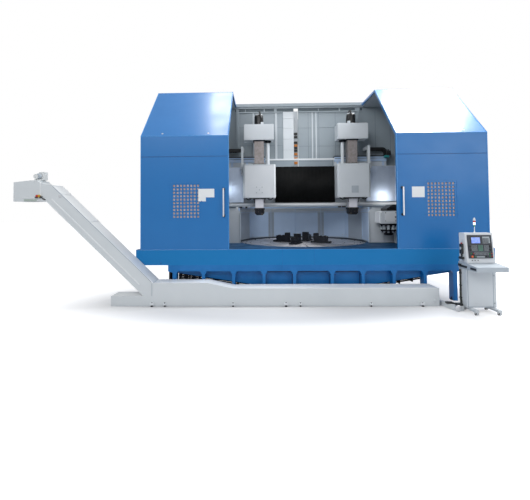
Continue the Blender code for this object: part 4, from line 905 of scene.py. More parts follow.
def make_guard_trim():
    z = spans("rear_guard")[2]
    piece("rear_guard_corners", "guard_grey", rods=[
        (guard_point(n, 0.004, z[0]), guard_point(n, 0.004, z[1] - 0.003), 0.009, 8)
        for n in range(9)])
    # Darker plates round the guard's corners: painted shade between its facets.
    piece("rear_guard_corner_plates", "facet_grey", drawn=[
        guard_plate(corners, 0.0, 0.004, z[0] + 0.001, GUARD_HEAD_Z)
        for corners in GUARD_SHADED_PLATES])
    # A darker grey strip over the guard's head: painted shade behind its rim.
    piece("rear_guard_head_strip", "inner_grey", drawn=[
        guard_plate((n, n + 1), 0.0, 0.006, GUARD_HEAD_Z + 0.01, z[1] - 0.001)
        for n in range(1, 7)])
    piece("rear_guard_bands", "inner_grey", pipes=[
        ([guard_point(n, depth * 0.5, level) for n in range(9)], depth, 6)
        for level, depth in ((z[1] - 0.03, 0.014), (2.00, 0.006), (z[0] + 0.02, 0.008))])
    piece("rear_guard_flashing", "guard_grey", 0.001, drawn=[
        guard_plate((n, n + 1), -0.004, -0.020, z[1] - 0.001,
                    z[1] + (0.15 if 2 <= n <= 5 else 0.040)) for n in range(1, 7)])
    # A dark ring lining the deck's hole: painted shade in the gap round the table.
    piece("table_gap_shade_ring", "recess_dark", turned=[
        ([(1.8125, 1.02), (1.8192, 1.02), (1.8192, 1.1805), (1.8125, 1.1805), (1.8125, 1.02)],
         (0, 0, 0), 96)])
    spots = []
    for number in range(8):
        middle = guard_point(number + 0.5, 0.0)
        way = -middle.normalized()
        across = Vector((way.y, -way.x, 0))
        spots += [(middle + across * shift + Vector((0, 0, level)), way)
                  for shift in (-0.36, 0.36) for level in (z[0] + 0.10, z[1] - 0.09)]
    bolt_on("rear_guard_screws", spots, 0.010, "bright_steel")
    for side, sign in SIDES:
        x, y, z = spans(f"{side}_guard_panel")
        edge, front = min(x, key=abs), y[0]
        piece(f"{side}_guard_edges", "inner_grey", 0.002, blocks=on_front(
            front, (edge, edge + sign * 0.02, z[0], z[1] - 0.13, 0.03),
            (edge + sign * 0.13, edge + sign * 2.1, z[1] - 0.02, z[1], 0.02),
            (edge + sign * 0.40, edge + sign * 0.406, z[0] + 0.01, z[1] - 0.02, 0.006)))


make_deck_trim()
make_levelling()
make_guard_trim()


# Rotary table and jaws

RING_RADII = (0.32, 0.62, 0.92, 1.22, 1.50, 1.74)
JAW_FIRST_DEG = -22.5
EDGE_SCREW_RADIUS = 1.66


def make_table_trim():
    top = spans("rotary_table")[2][1]
    # Thin dark rings on the table's top: painted shade of its turned grooves.
    piece("table_groove_shade_rings", "dark_iron_and_groove_shade", body="table", turned=[
        ([(radius, top - 0.001), (radius + 0.010, top - 0.001), (radius + 0.010, top + 0.0006),
          (radius, top + 0.0006), (radius, top - 0.001)], (0, 0, 0), 96)
        for radius in RING_RADII])
    piece("table_centre_plug", "bright_steel", body="table", turned=[
        ([(0.0, -0.03), (0.155, -0.03), (0.155, 0.004), (0.13, 0.008), (0.06, 0.008),
          (0.05, -0.01), (0.0, -0.01)], (0, 0, top), 48)])
    bolt_on("table_edge_screws",
            [((EDGE_SCREW_RADIUS * math.cos(a), EDGE_SCREW_RADIUS * math.sin(a), top), UPWARD)
             for a in row(math.pi / 16, math.pi * 31 / 16, 16)], 0.014, "black_steel", "table")


def make_jaw_trim(number):
    """Clamp screws, serrations and the carrier for one jaw, set out along its own radius."""
    turn = Matrix.Rotation(math.radians(JAW_FIRST_DEG + 90.0 * (number - 1)), 4, "Z")
    base = spans(f"chuck_jaw_{number}")[2][0]
    piece(f"chuck_jaw_{number}_carrier", "black_steel", 0.004, "table", turn,
          blocks=[*[(about(at, 0.004), about(0, 0.092), (base + 0.262, base + 0.273))
                    for at in row(0.395, 0.475, 5)],
                  *[((0.755, 0.764), about(0, 0.085), (base + at - 0.004, base + at + 0.006))
                    for at in row(0.03, 0.15, 5)],
                  ((0.30, 0.86), about(0, 0.112), (base, base + 0.045))],
          rods=[((along, across, base + 0.18), (along, across, base + 0.203), 0.026, 20)
                for across in (-0.05, 0.05) for along in (0.56, 0.69)])


make_table_trim()
for jaw_number in range(1, 5):
    make_jaw_trim(jaw_number)


# Heads: saddle, ram and drive box

SADDLE_HALF = 0.47
SADDLE_TOP = 3.41
DRIVE_BOX_FOOT = 4.14
DRIVE_BOX_TOP = 4.59
WIPER_HALF = 0.185
WIPER_BORE = 0.143
BALANCE_ROD_SHIFT = 0.26
RAM_STRIPS_FOOT = 3.47
MOTOR_OUTLINE = [(0.0, DRIVE_BOX_TOP), (0.140, DRIVE_BOX_TOP), (0.140, DRIVE_BOX_TOP + 0.02),
                 (0.127, DRIVE_BOX_TOP + 0.03), (0.127, 4.86), (0.114, 4.905), (0.080, 4.932),
                 (0.0, 4.936)]
# The motor hose's way, from the middle of the head: outward (less is inward), Y and Z
MOTOR_HOSE = ((0.095, -0.13, 4.67), (0.095, -0.145, 4.74), (0.05, -0.15, 4.86),
              (0.02, -0.10, 4.97), (0.03, 0.02, 5.01), (0.07, 0.14, 4.92), (0.08, 0.17, 4.74),
              (0.08, 0.17, 4.60))


def make_saddle_trim(side, sign, centre):
    """sign is -1 on the left head and 1 on the right one; outward is away from the middle."""
    body = f"{side}_head"
    y, z = spans(f"{side}_saddle")[1:]
    front, foot, top, half = y[0], z[0], SADDLE_TOP, SADDLE_HALF

    # The left plate is whiter than the right one: lit and shaded copies, painted light and shade.
    plate = centre + (0.0 if side == "left" else 0.02)
    piece(f"{side}_saddle_cover_plate", "panel_white" if side == "left" else "inner_grey", 0.002,
          body, blocks=on_front(front, (plate - 0.10, plate + 0.10, foot + 0.13, foot + 0.33,
                                        0.006)))
    bolt_on(f"{side}_saddle_plate_screws",
            spots_at(about(plate, 0.08), front - 0.006, about(foot + 0.23, 0.08))
            + spots_at(plate, front - 0.006, foot + 0.23), 0.010, "key_grey", body)

    level_edge = (centre - half + 0.05, centre + half - 0.05)
    piece(f"{side}_saddle_edges", "machine_grey", 0.002, body,
          rods=[((centre + edge * (half - 0.05), front + 0.004, foot + 0.01),
                 (centre + edge * (half - 0.05), front + 0.004, top - 0.01), 0.007, 8)
                for edge in (-1, 1)],
          blocks=[*[(ordered(centre + edge * (half - 0.001), centre + edge * (half + 0.005)),
                     (front + 0.055, 0.10), (foot + 0.02, top - 0.02)) for edge in (-1, 1)],
                  (level_edge, (front - 0.004, front + 0.002), (top - 0.035, top)),
                  (level_edge, (front - 0.004, front + 0.002), (foot, foot + 0.03))])

    piece(f"{side}_ram_wipers", "black_steel", 0.003, body, blocks=[
        block for low, high in ((-WIPER_HALF, -WIPER_BORE), (WIPER_BORE, WIPER_HALF))
        for level in ((top, top + 0.03), (foot - 0.035, foot))
        for block in (((centre + low, centre + high), about(0, WIPER_HALF), level),
                      (about(centre, WIPER_BORE), (low, high), level))])
    bolt_on(f"{side}_wiper_screws",
            spots_at([centre + a for a in row(-0.165, 0.165, 4)], about(0, 0.165), top + 0.03,
                     UPWARD), 0.008, "bright_steel", body)
    piece(f"{side}_balance_gland", "black_steel", 0.0, body, turned=[
        ([(0.053, 0.0), (0.095, 0.0), (0.095, 0.008), (0.075, 0.012), (0.053, 0.012),
          (0.053, 0.0)], (centre - sign * BALANCE_ROD_SHIFT, 0, top))])

    arcs = [[(centre + start + 0.18 * t / 8, front + 0.12,
              foot + 0.005 - 0.055 * math.sin(math.pi * t / 8)) for t in range(9)]
            for start in (-0.40, 0.22)]
    piece(f"{side}_coolant_pipes", "black_plastic", 0.0, body,
          pipes=[(arc, 0.014, 8) for arc in arcs],
          blocks=[(about(centre, 0.30), (front + 0.03, front + 0.09), (foot - 0.02, foot))])
    piece(f"{side}_coolant_nozzles", "dark_iron_and_groove_shade", 0.0, body, rods=[
        ((centre + edge * 0.16, front + 0.12, foot + 0.01),
         (centre + edge * 0.14, front + 0.14, foot - 0.14), 0.015, 10, 0.008)
        for edge in (-1, 1)])

    arm = ordered(centre + sign * half, centre + sign * (half + 0.06))
    piece(f"{side}_chain_arm_ribs", "machine_grey", 0.003, body, blocks=[
        ((arm[0] - 0.004, arm[1] + 0.004), (-0.064, -0.02), (3.20, 3.96)),
        (ordered(centre + sign * (half - 0.015), centre + sign * (half + 0.09)), (-0.10, 0.10),
         (3.30, 3.38))])
    bolt_on(f"{side}_chain_arm_bolts",
            spots_at(centre + sign * (half + 0.062), (-0.03, 0.03), (3.19, 3.29), (sign, 0, 0)),
            0.012, "black_steel", body)


def make_ram_trim(side, sign, centre):
    body = f"{side}_ram_body"
    top = spans(f"{side}_ram")[2][1]
    piece(f"{side}_ram_way_strips", "slideway", 0.001, body, blocks=[
        *[(about(centre + edge * 0.132, 0.006), (-0.14035, -0.139), (RAM_STRIPS_FOOT, top))
          for edge in (-1, 1)],
        (about(centre, 0.045), (-0.14030, -0.139), (RAM_STRIPS_FOOT, top))])
    low, high = spans(f"{side}_tool_holder")[2]
    piece(f"{side}_tool_clamp", "black_steel", 0.005, body, blocks=[
        (about(centre, 0.150), (-0.150, 0.150), (high - 0.055, high - 0.004)),
        *[(ordered(centre + edge * 0.095, centre + edge * 0.140), (-0.142, 0.10),
           (low + 0.055, high - 0.05)) for edge in (-1, 1)],
        (about(centre, 0.05), (-0.16, -0.12), (low + 0.01, high - 0.05))])
    tip = centre - sign * 0.075
    knob = centre + sign * 0.035
    piece(f"{side}_turning_tool", "dark_iron_and_groove_shade", 0.001, body,
          drawn=[([(tip - 0.025, low + 0.06), (tip + 0.025, low + 0.06),
                   (tip + 0.025, low + 0.005), (tip, low + 0.0005), (tip - 0.025, low + 0.012)],
                  "Y", -0.155, -0.105)],
          rods=[((knob, -0.135, low + 0.10), (knob, -0.165, low + 0.10), 0.016, 12)])
    bolt_on(f"{side}_tool_clamp_screws",
            spots_at(about(centre, 0.117), -0.142, (high - 0.085, high - 0.125))
            + spots_at([centre + a for a in (-0.12, -0.04, 0.04, 0.12)], -0.150, high - 0.03),
            0.010, "dark_iron_and_groove_shade", body)


def make_drive_trim(side, sign, centre):
    body = f"{side}_ram_body"
    x, y, _ = spans(f"{side}_drive_box")
    foot, top, front = DRIVE_BOX_FOOT, DRIVE_BOX_TOP, y[0]
    piece(f"{side}_drive_cover", "machine_grey", 0.003, body, blocks=[
        *on_front(front, (x[0] + 0.03, x[1] - 0.03, foot + 0.04, top - 0.04, 0.005)),
        ((x[0] + 0.02, x[1] - 0.02), (y[0] + 0.02, y[1] - 0.02), (top, top + 0.012))])
    bolt_on(f"{side}_drive_cover_screws",
            spots_at((x[0] + 0.05, x[1] - 0.05), front - 0.005, (foot + 0.06, top - 0.06))
            + spots_at(row(x[0] + 0.05, x[1] - 0.05, 4), (y[0] + 0.04, y[1] - 0.04),
                       top + 0.012, UPWARD), 0.008, "machine_grey", body)

    piece(f"{side}_feed_motor_shell", "black_plastic", 0.0, body,
          turned=[(MOTOR_OUTLINE, (centre, 0, 0), 32)])
    grow(f"{side}_feed_motor_fins", FINS, {"Count": 9, "Radius": 0.134, "Pitch": 0.026},
         "black_plastic", body, place=Matrix.Translation((centre, 0, top + 0.05)))
    piece(f"{side}_motor_terminal_box", "machine_grey", 0.006, body, blocks=[
        (about(centre - sign * 0.095, 0.04), (-0.17, -0.09), (top + 0.012, top + 0.085))])
    grow(f"{side}_motor_hose", HOSE, {"Radius": 0.022, "Pitch": 0.018}, "black_plastic", body,
         smooth_path([(centre - sign * a, b, c) for a, b, c in MOTOR_HOSE]))
    piece(f"{side}_balance_collar", "black_steel", 0.003, body,
          turned=[([(0.0, -0.064), (0.060, -0.064), (0.072, -0.052), (0.072, -0.044),
                    (0.10, -0.044), (0.10, 0.0), (0.0, 0.0)],
                   (centre - sign * BALANCE_ROD_SHIFT, 0, foot))],
          blocks=[(about(centre, 0.17), (-0.17, 0.17), (foot - 0.03, foot))])


for head_side, head_sign in SIDES:
    head_middle = sum(spans(f"{head_side}_ram")[0]) / 2
    make_saddle_trim(head_side, head_sign, head_middle)
    make_ram_trim(head_side, head_sign, head_middle)
    make_drive_trim(head_side, head_sign, head_middle)


# Covers over the guide rails: folded cloth in the middle, steel sheet outside

PLEAT_COUNT = 22
CHAIN_HEIGHT = 0.09


def make_bellows(side):
    """One half of the bellows, folded finer than the plain solid it stands for."""
    x, y, z = spans(f"{side}_bellows")
    length = x[1] - x[0]
    made = grow(f"{side}_bellows_cloth", PLEATS,
                {"Pleats": PLEAT_COUNT, "Length": length, "Height": z[1] - z[0], "Depth": 0.045},
                "cloth", None, place=Matrix.Translation((x[0], y[0] + 0.004, z[0])), wall=0.003)
    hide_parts(f"{side}_bellows")
    edging = piece(f"{side}_bellows_edging", "cloth", 0.0, None, blocks=[
        (about(x[0] + length * (number + 0.5) / (PLEAT_COUNT * 2), 0.007),
         (y[0] + 0.01, y[0] + 0.045), about(level, 0.004))
        for level in (z[0] + 0.004, z[1] - 0.004) for number in range(PLEAT_COUNT * 2)])
    for folded in (made, edging):
        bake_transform(folded)


def make_cover_trim(side, sign):
    body = f"{side}_head"
    x, y, z = spans(f"{side}_sliding_cover")
    edge, outer, front = min(x, key=abs), max(x, key=abs), y[0]
    seams = [edge + (outer - edge) * share for share in (0.36, 0.70)]
    piece(f"{side}_cover_edges", "stainless", 0.002, body, blocks=on_front(
        front, (outer, outer - sign * 0.03, *z, 0.012), (edge, edge + sign * 0.03, *z, 0.012),
        *[(at - 0.006, at + 0.006, *z, 0.005) for at in seams]))
    bolt_on(f"{side}_cover_screws",
            spots_at(outer - sign * 0.015, front - 0.012, row(z[0] + 0.08, z[1] - 0.08, 6)),
            0.008, "bright_steel", body)


def make_chain(side, sign):
    """Cable chain: lower run in its tray, a bend, and an upper run to the head's arm."""
    x, y, z = spans(f"{side}_cable_chain")
    middle = sum(y) / 2
    low, high = z[0] + CHAIN_HEIGHT / 2, z[1] - CHAIN_HEIGHT / 2
    bend = max(x, key=abs) - sign * (z[1] - z[0]) / 2
    inner = min(x, key=abs)
    arm = max(spans(f"{side}_saddle")[0], key=abs)
    radius = (high - low) / 2
    path = [(a, middle, low) for a in [inner + sign * 0.05] + row(inner + sign * 0.1, bend, 12)]
    path += [(bend + sign * radius * math.sin(t), middle, low + radius * (1 - math.cos(t)))
             for t in row(0.0, math.pi, 15)]
    path += [(a, middle, high) for a in row(bend, arm, 12)]
    made = grow(f"{side}_cable_chain_links", CHAIN,
                {"Pitch": 0.075, "Height": CHAIN_HEIGHT, "Width": y[1] - y[0], "Wall": 0.012},
                "black_plastic", None, path)
    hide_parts(f"{side}_cable_chain")
    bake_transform(made)


for cover_side, cover_sign in SIDES:
    make_bellows(cover_side)
    make_cover_trim(cover_side, cover_sign)
    make_chain(cover_side, cover_sign)


# Rear screens, crossrail, columns and the machine's back

SCREEN_POSTS = (-1.904, 1.841)
SCREEN_SEAMS_X = (-1.412, -0.737, 0.30, 0.628, 1.137, 2.367, 2.820)
SCREEN_SEAMS_Z = (4.67, 4.10, 3.62)
SCREEN_STIFFENERS = ((-1.425, -1.385), (-0.735, -0.665), (0.405, 0.445), (0.52, 0.56))
SCREEN_BRACKETS = ((-1.65, 0.012), (-1.063, 0.020), (-0.715, 0.042), (0.62, 0.012),
                   (1.27, 0.020), (1.80, 0.05))
SCREEN_SCREWS_X = (-1.80, -1.45, -1.38, -0.77, -0.70, 0.06, 0.60, 0.66, 1.10, 1.17, 1.76)
SCREEN_FACE = 0.50
SCREEN_FOOT = 3.64
SCREEN_HEAD = 5.12
PALE_STRIP_X = (-0.478, -0.152)
PALE_STRIP_JOINTS = (SCREEN_FOOT, 3.95, 4.29, 4.63, 4.93, SCREEN_HEAD + 0.03)
RAIL_TOP = 3.41
SHELF_GLANDS = ((1.14, 1.22), (1.25, 1.36), (1.42, 1.50), (-1.85, -1.76), (-1.66, -1.60))
COLUMN_COVERS = ((1.25, 1.95), (2.30, 3.00), (3.35, 4.05))


def make_screen_trim():
    """Posts, seams, stiffeners and the pale strip on the face of the rear screens."""
    face, foot, head = SCREEN_FACE, SCREEN_FOOT, SCREEN_HEAD
    piece("screen_posts_and_rails", "screen_grey", 0.002, blocks=[
        *[(about(at, 0.035), (face - 0.05, face + 0.002), (foot, 5.24)) for at in SCREEN_POSTS],
        *[((at + 0.035, at + 0.06), (face - 0.02, face + 0.002), (foot, 5.24))
          for at in SCREEN_POSTS],
        ((-1.97, 1.97), (face - 0.045, face + 0.002), (5.245, 5.30)),
        *[(ends, (face - 0.03, face + 0.002), (5.12, 5.155))
          for ends in ((-1.97, PALE_STRIP_X[0] - 0.02), (0.0, 1.97))],
        *on_front(face, *[(low, PALE_STRIP_X[0], level, level + 0.012, 0.004)
                          for low, level in zip((-1.86, -1.40, -1.86), SCREEN_SEAMS_Z)],
                  *[(0.0, 1.80, level - 0.03, level - 0.018, 0.004)
                    for level in SCREEN_SEAMS_Z])])
    piece("screen_stiffeners", "casting_grey", 0.003, blocks=on_front(
        face, *[(*ends, foot, head + 0.02, 0.010) for ends in SCREEN_STIFFENERS]))
    # A flat slate band on the screens' face: painted shade of the head's recess.
    piece("screen_head_recess_shade", "recess_slate", blocks=on_front(
        face, (-1.97, -0.152, 5.158, 5.240, 0.002), (-0.008, 1.97, 5.158, 5.240, 0.002)))
    piece("screen_head_brackets", "screen_grey", 0.003, blocks=[
        (about(at, half), (face - 0.03, face), (5.155, 5.245)) for at, half in SCREEN_BRACKETS])
    piece("screen_seams", "recess_slate", blocks=on_front(
        face, *[(at - 0.003, at + 0.003, foot, head, 0.0012) for at in SCREEN_SEAMS_X],
        *[(-1.86, PALE_STRIP_X[0], z - 0.004, z, 0.0012) for z in SCREEN_SEAMS_Z],
        *[(0.0, 1.80, z - 0.038, z - 0.034, 0.0012) for z in SCREEN_SEAMS_Z]))
    piece("screen_pale_strip", "machine_grey", 0.002, blocks=on_front(
        face, *[(*PALE_STRIP_X, low + 0.003, high - 0.003, 0.012)
                for low, high in zip(PALE_STRIP_JOINTS, PALE_STRIP_JOINTS[1:])]))
    bolt_on("screen_screws", spots_at(SCREEN_SCREWS_X, face, row(3.80, 5.0, 4)), 0.009,
            "screen_grey")


def make_slot_post():
    """The post behind the gap between the screens, with its orange and black cable caps."""
    piece("slot_post", "machine_grey", 0.003, blocks=[
        ((-0.150, -0.010), (0.64, 0.70), (RAIL_TOP + 0.0005, 5.20))])
    for name, finish, levels in (
            ("slot_orange_caps", "cap_orange", (3.52, 3.66, 3.80, 4.07)),
            ("slot_black_caps", "black_plastic", (3.91, 4.00, 4.16, 4.34, 4.44))):
        piece(name, finish, 0.005,
              blocks=[((-0.135, -0.03), (0.60, 0.642), (z, z + 0.075)) for z in levels],
              rods=[((-0.08, 0.602, z + 0.037), (-0.08, 0.585, z + 0.037), 0.022, 14)
                    for z in levels])


def make_crossrail_trim():
    x, y, z = spans("rail_shelf")
    ends, front = (x[0] + 0.02, x[1] - 0.02), y[0]
    # A whiter strip on the shelf's front: painted highlight along its edge.
    piece("rail_shelf_face", "white_foil_and_painted_light", 0.002, blocks=on_front(
        front, (*ends, z[1] - 0.060, z[1] - 0.001, 0.012),
        (*ends, z[1] - 0.012, z[1] + 0.0005, 0.02)))
    piece("rail_shelf_skirt", "inner_grey", 0.001, blocks=on_front(
        front, (*ends, z[0] + 0.002, z[1] - 0.062, 0.004)))
    piece("rail_shelf_glands", "black_plastic", 0.004,
          blocks=[(gland, (front + 0.02, front + 0.10), (2.152, z[0] + 0.001))
                  for gland in SHELF_GLANDS],
          rods=[((sum(gland) / 2, front + 0.03, 2.175), (sum(gland) / 2, front - 0.02, 2.175),
                 0.014, 12) for gland in SHELF_GLANDS])

    rail_y, rail_z = spans("crossrail")[1:]
    # A white strip along the crossrail's top edge: painted highlight.
    piece("crossrail_top_edge_highlight", "panel_white", 0.003, blocks=on_front(
        rail_y[0], (-1.04, 1.04, rail_z[1] - 0.045, rail_z[1] + 0.001, 0.008)))
    trays = [ordered(sign * 1.05, sign * 2.62) for sign in (-1, 1)]
    piece("chain_tray_fronts", "guard_grey", 0.002, blocks=[
        *[(tray, (face, 0.3092), levels) for tray in trays
          for face, levels in ((0.296, (3.545, 3.688)), (0.282, (3.676, 3.688)),
                               (0.282, (3.545, 3.557)))],
        *[(about(at, 0.03), (0.300, 0.312), (3.412, 3.548))
          for low, high in trays for at in row(low + 0.10, high - 0.10, 4)]])
    # Dark strips on the tray fronts: painted shade of a groove along them.
    piece("chain_tray_grooves", "recess_dark", blocks=[
        ((low + 0.01, high - 0.01), (0.292, 0.300), (3.634, 3.646)) for low, high in trays])
    bolt_on("chain_tray_screws", spots_at(row(-2.55, -1.12, 6) + row(1.12, 2.55, 6), 0.296,
                                          3.60), 0.010, "bright_steel")
    piece("rail_connector", "connector_teal", 0.005,
          blocks=[((2.535, 2.665), (0.20, 0.297), (3.640, 3.708))],
          rods=[((2.60, 0.21, 3.674), (2.60, 0.17, 3.674), 0.026, 16)])
    piece("rail_junction_box", "black_plastic", 0.008,
          blocks=[((2.600, 2.720), (0.19, 0.290), (3.712, 3.850)),
                  ((2.600, 2.700), (0.24, 0.309), (3.688, 3.716))],
          rods=[((2.660, 0.24, 3.845), (2.660, 0.24, 3.895), 0.022, 14)])


def make_column_trim():
    """Foot flanges with their nuts, access covers on the back, and the crown's bolts."""
    feet, covers, screws, nuts = [], [], [], []
    for side, _ in SIDES:
        x, y, z = spans(f"{side}_column")
        back, middle = y[1], sum(x) / 2
        feet.append(((x[0] - 0.05, x[1] + 0.05), (2.0, back + 0.04), (0.825, 0.885)))
        nuts += spots_at(row(x[0] + 0.06, x[1] - 0.06, 4), back + 0.02, 0.885, UPWARD)
        for low, high in COLUMN_COVERS:
            covers.append((about(middle, 0.26), (back - 0.001, back + 0.012), (low, high)))
            screws += spots_at(about(middle, 0.22), back + 0.012,
                               (low + 0.05, (low + high) / 2, high - 0.05), BACKWARD)
        covers.append(((x[0] + 0.06, x[1] - 0.06), (y[0] + 0.10, back - 0.40),
                       (z[1] - 0.001, z[1] + 0.02)))
    piece("column_feet", "deck_blue", 0.006, blocks=feet)
    piece("column_covers", "casting_grey", 0.004, blocks=covers)
    bolt_on("column_cover_screws", screws, 0.012, "black_steel")
    bolt_on("column_nuts", nuts, 0.017, "black_steel")
    _, y, z = spans("crown_beam")
    piece("crown_covers", "casting_grey", 0.004, blocks=[
        (ends, (y[1] - 0.001, y[1] + 0.012), (z[0] + 0.12, z[1] - 0.12))
        for ends in ((-1.70, -0.62), (-0.50, 0.50), (0.62, 1.70))])
    bolt_on("crown_cover_screws",
            spots_at((-1.64, -0.68, -0.44, 0.44, 0.68, 1.64), y[1] + 0.012,
                     (z[0] + 0.17, z[1] - 0.17), BACKWARD), 0.012, "black_steel")


def make_back_screen_trim():
    """Folded stiffeners on the rear face of the upper screens and on the side walls."""
    folds = []
    for side, _ in SIDES:
        x, y, z = spans(f"{side}_back_screen")
        folds += [(about(at, 0.025), (y[1] - 0.001, y[1] + 0.03), (3.66, z[1] - 0.08))
                  for at in row(x[0] + 0.08, x[1] - 0.08, 6)]
        folds.append(((x[0] + 0.03, x[1] - 0.03), (y[1] - 0.001, y[1] + 0.02),
                      (z[1] - 0.07, z[1] - 0.02)))
    piece("screen_back_stiffeners", "inner_grey", 0.003, blocks=folds)
    for side, sign in SIDES:
        x, y, z = spans(f"{side}_side_wall")
        face = max(x, key=abs)
        piece(f"{side}_wall_ribs", "inner_grey", 0.003, blocks=[
            (ordered(face - sign * 0.001, face + sign * 0.012), about(at, 0.02),
             (z[0] + 0.05, 3.60)) for at in row(y[0] + 0.35, y[1] - 0.25, 5)])


make_screen_trim()
make_slot_post()
make_crossrail_trim()
make_column_trim()
make_back_screen_trim()


# Tool magazine

TOOL_COUNT = 10
TOOL_CIRCLE = 0.178


def make_magazine_trim():
    x, y, z = spans("magazine_housing")
    left, front, top = x[0], y[0], z[1]
    piece("magazine_door", "panel_white", 0.003, blocks=[
        *on_front(front, (left + 0.10, left + 0.40, top - 0.28, top - 0.03, 0.006)),
        ((left - 0.03, left + 0.001), (front + 0.02, front + 0.44), (top - 0.31, top - 0.28)),
        ((left - 0.03, left + 0.001), (front + 0.05, front + 0.40), (top - 0.28, top - 0.02))])
    bolt_on("magazine_door_screws",
            spots_at((left + 0.12, left + 0.38), front - 0.006, (top - 0.05, top - 0.26)), 0.008,
            "black_steel")
    piece("magazine_lock", "black_plastic", 0.003,
          rods=[((left + 0.37, front - 0.005, top - 0.16), (left + 0.37, front - 0.03, top - 0.16),
                 0.016, 16)],
          blocks=on_front(front, (left + 0.44, left + 0.56, top - 0.26, top - 0.10, 0.02)))

    x, y, _ = spans("magazine_carousel")
    a, b = sum(x) / 2, sum(y) / 2
    spots = [(a + TOOL_CIRCLE * math.cos(2 * math.pi * n / TOOL_COUNT),
              b + TOOL_CIRCLE * math.sin(2 * math.pi * n / TOOL_COUNT), 0)
             for n in range(TOOL_COUNT)]
    for name, finish, profile in (
            ("magazine_tool_collars", "key_grey",
             [(0.0, 1.66), (0.043, 1.66), (0.043, 1.63), (0.036, 1.62), (0.036, 1.585),
              (0.043, 1.575), (0.043, 1.555), (0.0, 1.555)]),
            ("magazine_tool_tips", "inner_grey",
             [(0.0, 1.50), (0.034, 1.50), (0.026, 1.475), (0.0, 1.4705)])):
        piece(name, finish, turned=[(profile, spot, 16) for spot in spots])
    piece("magazine_drive", "black_steel", 0.003,
          turned=[([(0.0, 1.40), (0.10, 1.40), (0.12, 1.43), (0.12, 1.47), (0.07, 1.50),
                    (0.07, 1.60), (0.0, 1.60)], (a, b, 0))],
          blocks=[(about(a, 0.05), (b + 0.05, b + 0.20), (1.42, 1.46))])
    x, y, z = spans("magazine_hood")
    piece("magazine_hood_edges", "black_steel", 0.002, blocks=on_front(
        y[0], (x[0] + 0.03, x[1] - 0.06, z[0] + 0.015, z[0] + 0.03, 0.004),
        (x[0] + 0.08, x[0] + 0.20, z[0] + 0.05, z[0] + 0.09, 0.01)))


make_magazine_trim()


# Chip conveyor

ANCHORS = ((-3.577, 0.045), (-3.295, 0.03), (-1.809, 0.03), (-0.665, 0.045), (-0.356, 0.03),
           (1.154, 0.03), (2.242, 0.045))
TROUGH_TOP = 0.38
TROUGH_RISE = [(-3.545, 0.4995), (-2.38, 0.4995), (-1.80, TROUGH_TOP - 0.0005),
               (-1.70, TROUGH_TOP - 0.0005)]
INCLINE_FOOT = (-3.56, 0.50)
INCLINE_HEAD = (-5.83, 2.674)
GEARMOTOR_AXIS = (-6.19, 2.885)
AXIS_TO_BACK = Matrix.Rotation(-math.pi / 2, 4, "X")


def along_incline(share, drop):
    """A point (x, z) on the inclined housing's side: share of its length, drop below its top."""
    run = (INCLINE_HEAD[0] - INCLINE_FOOT[0], INCLINE_HEAD[1] - INCLINE_FOOT[1])
    length = math.hypot(*run)
    way = (run[0] / length, run[1] / length)
    return (INCLINE_FOOT[0] + run[0] * share - way[1] * drop,
            INCLINE_FOOT[1] + run[1] * share + way[0] * drop)


def incline_strip(start, end, high, low, near, far):
    """A strip along the incline between two shares and two drops, drawn out along Y."""
    outline = [along_incline(start, high), along_incline(end, high), along_incline(end, low),
               along_incline(start, low)]
    return outline, "Y", near, far


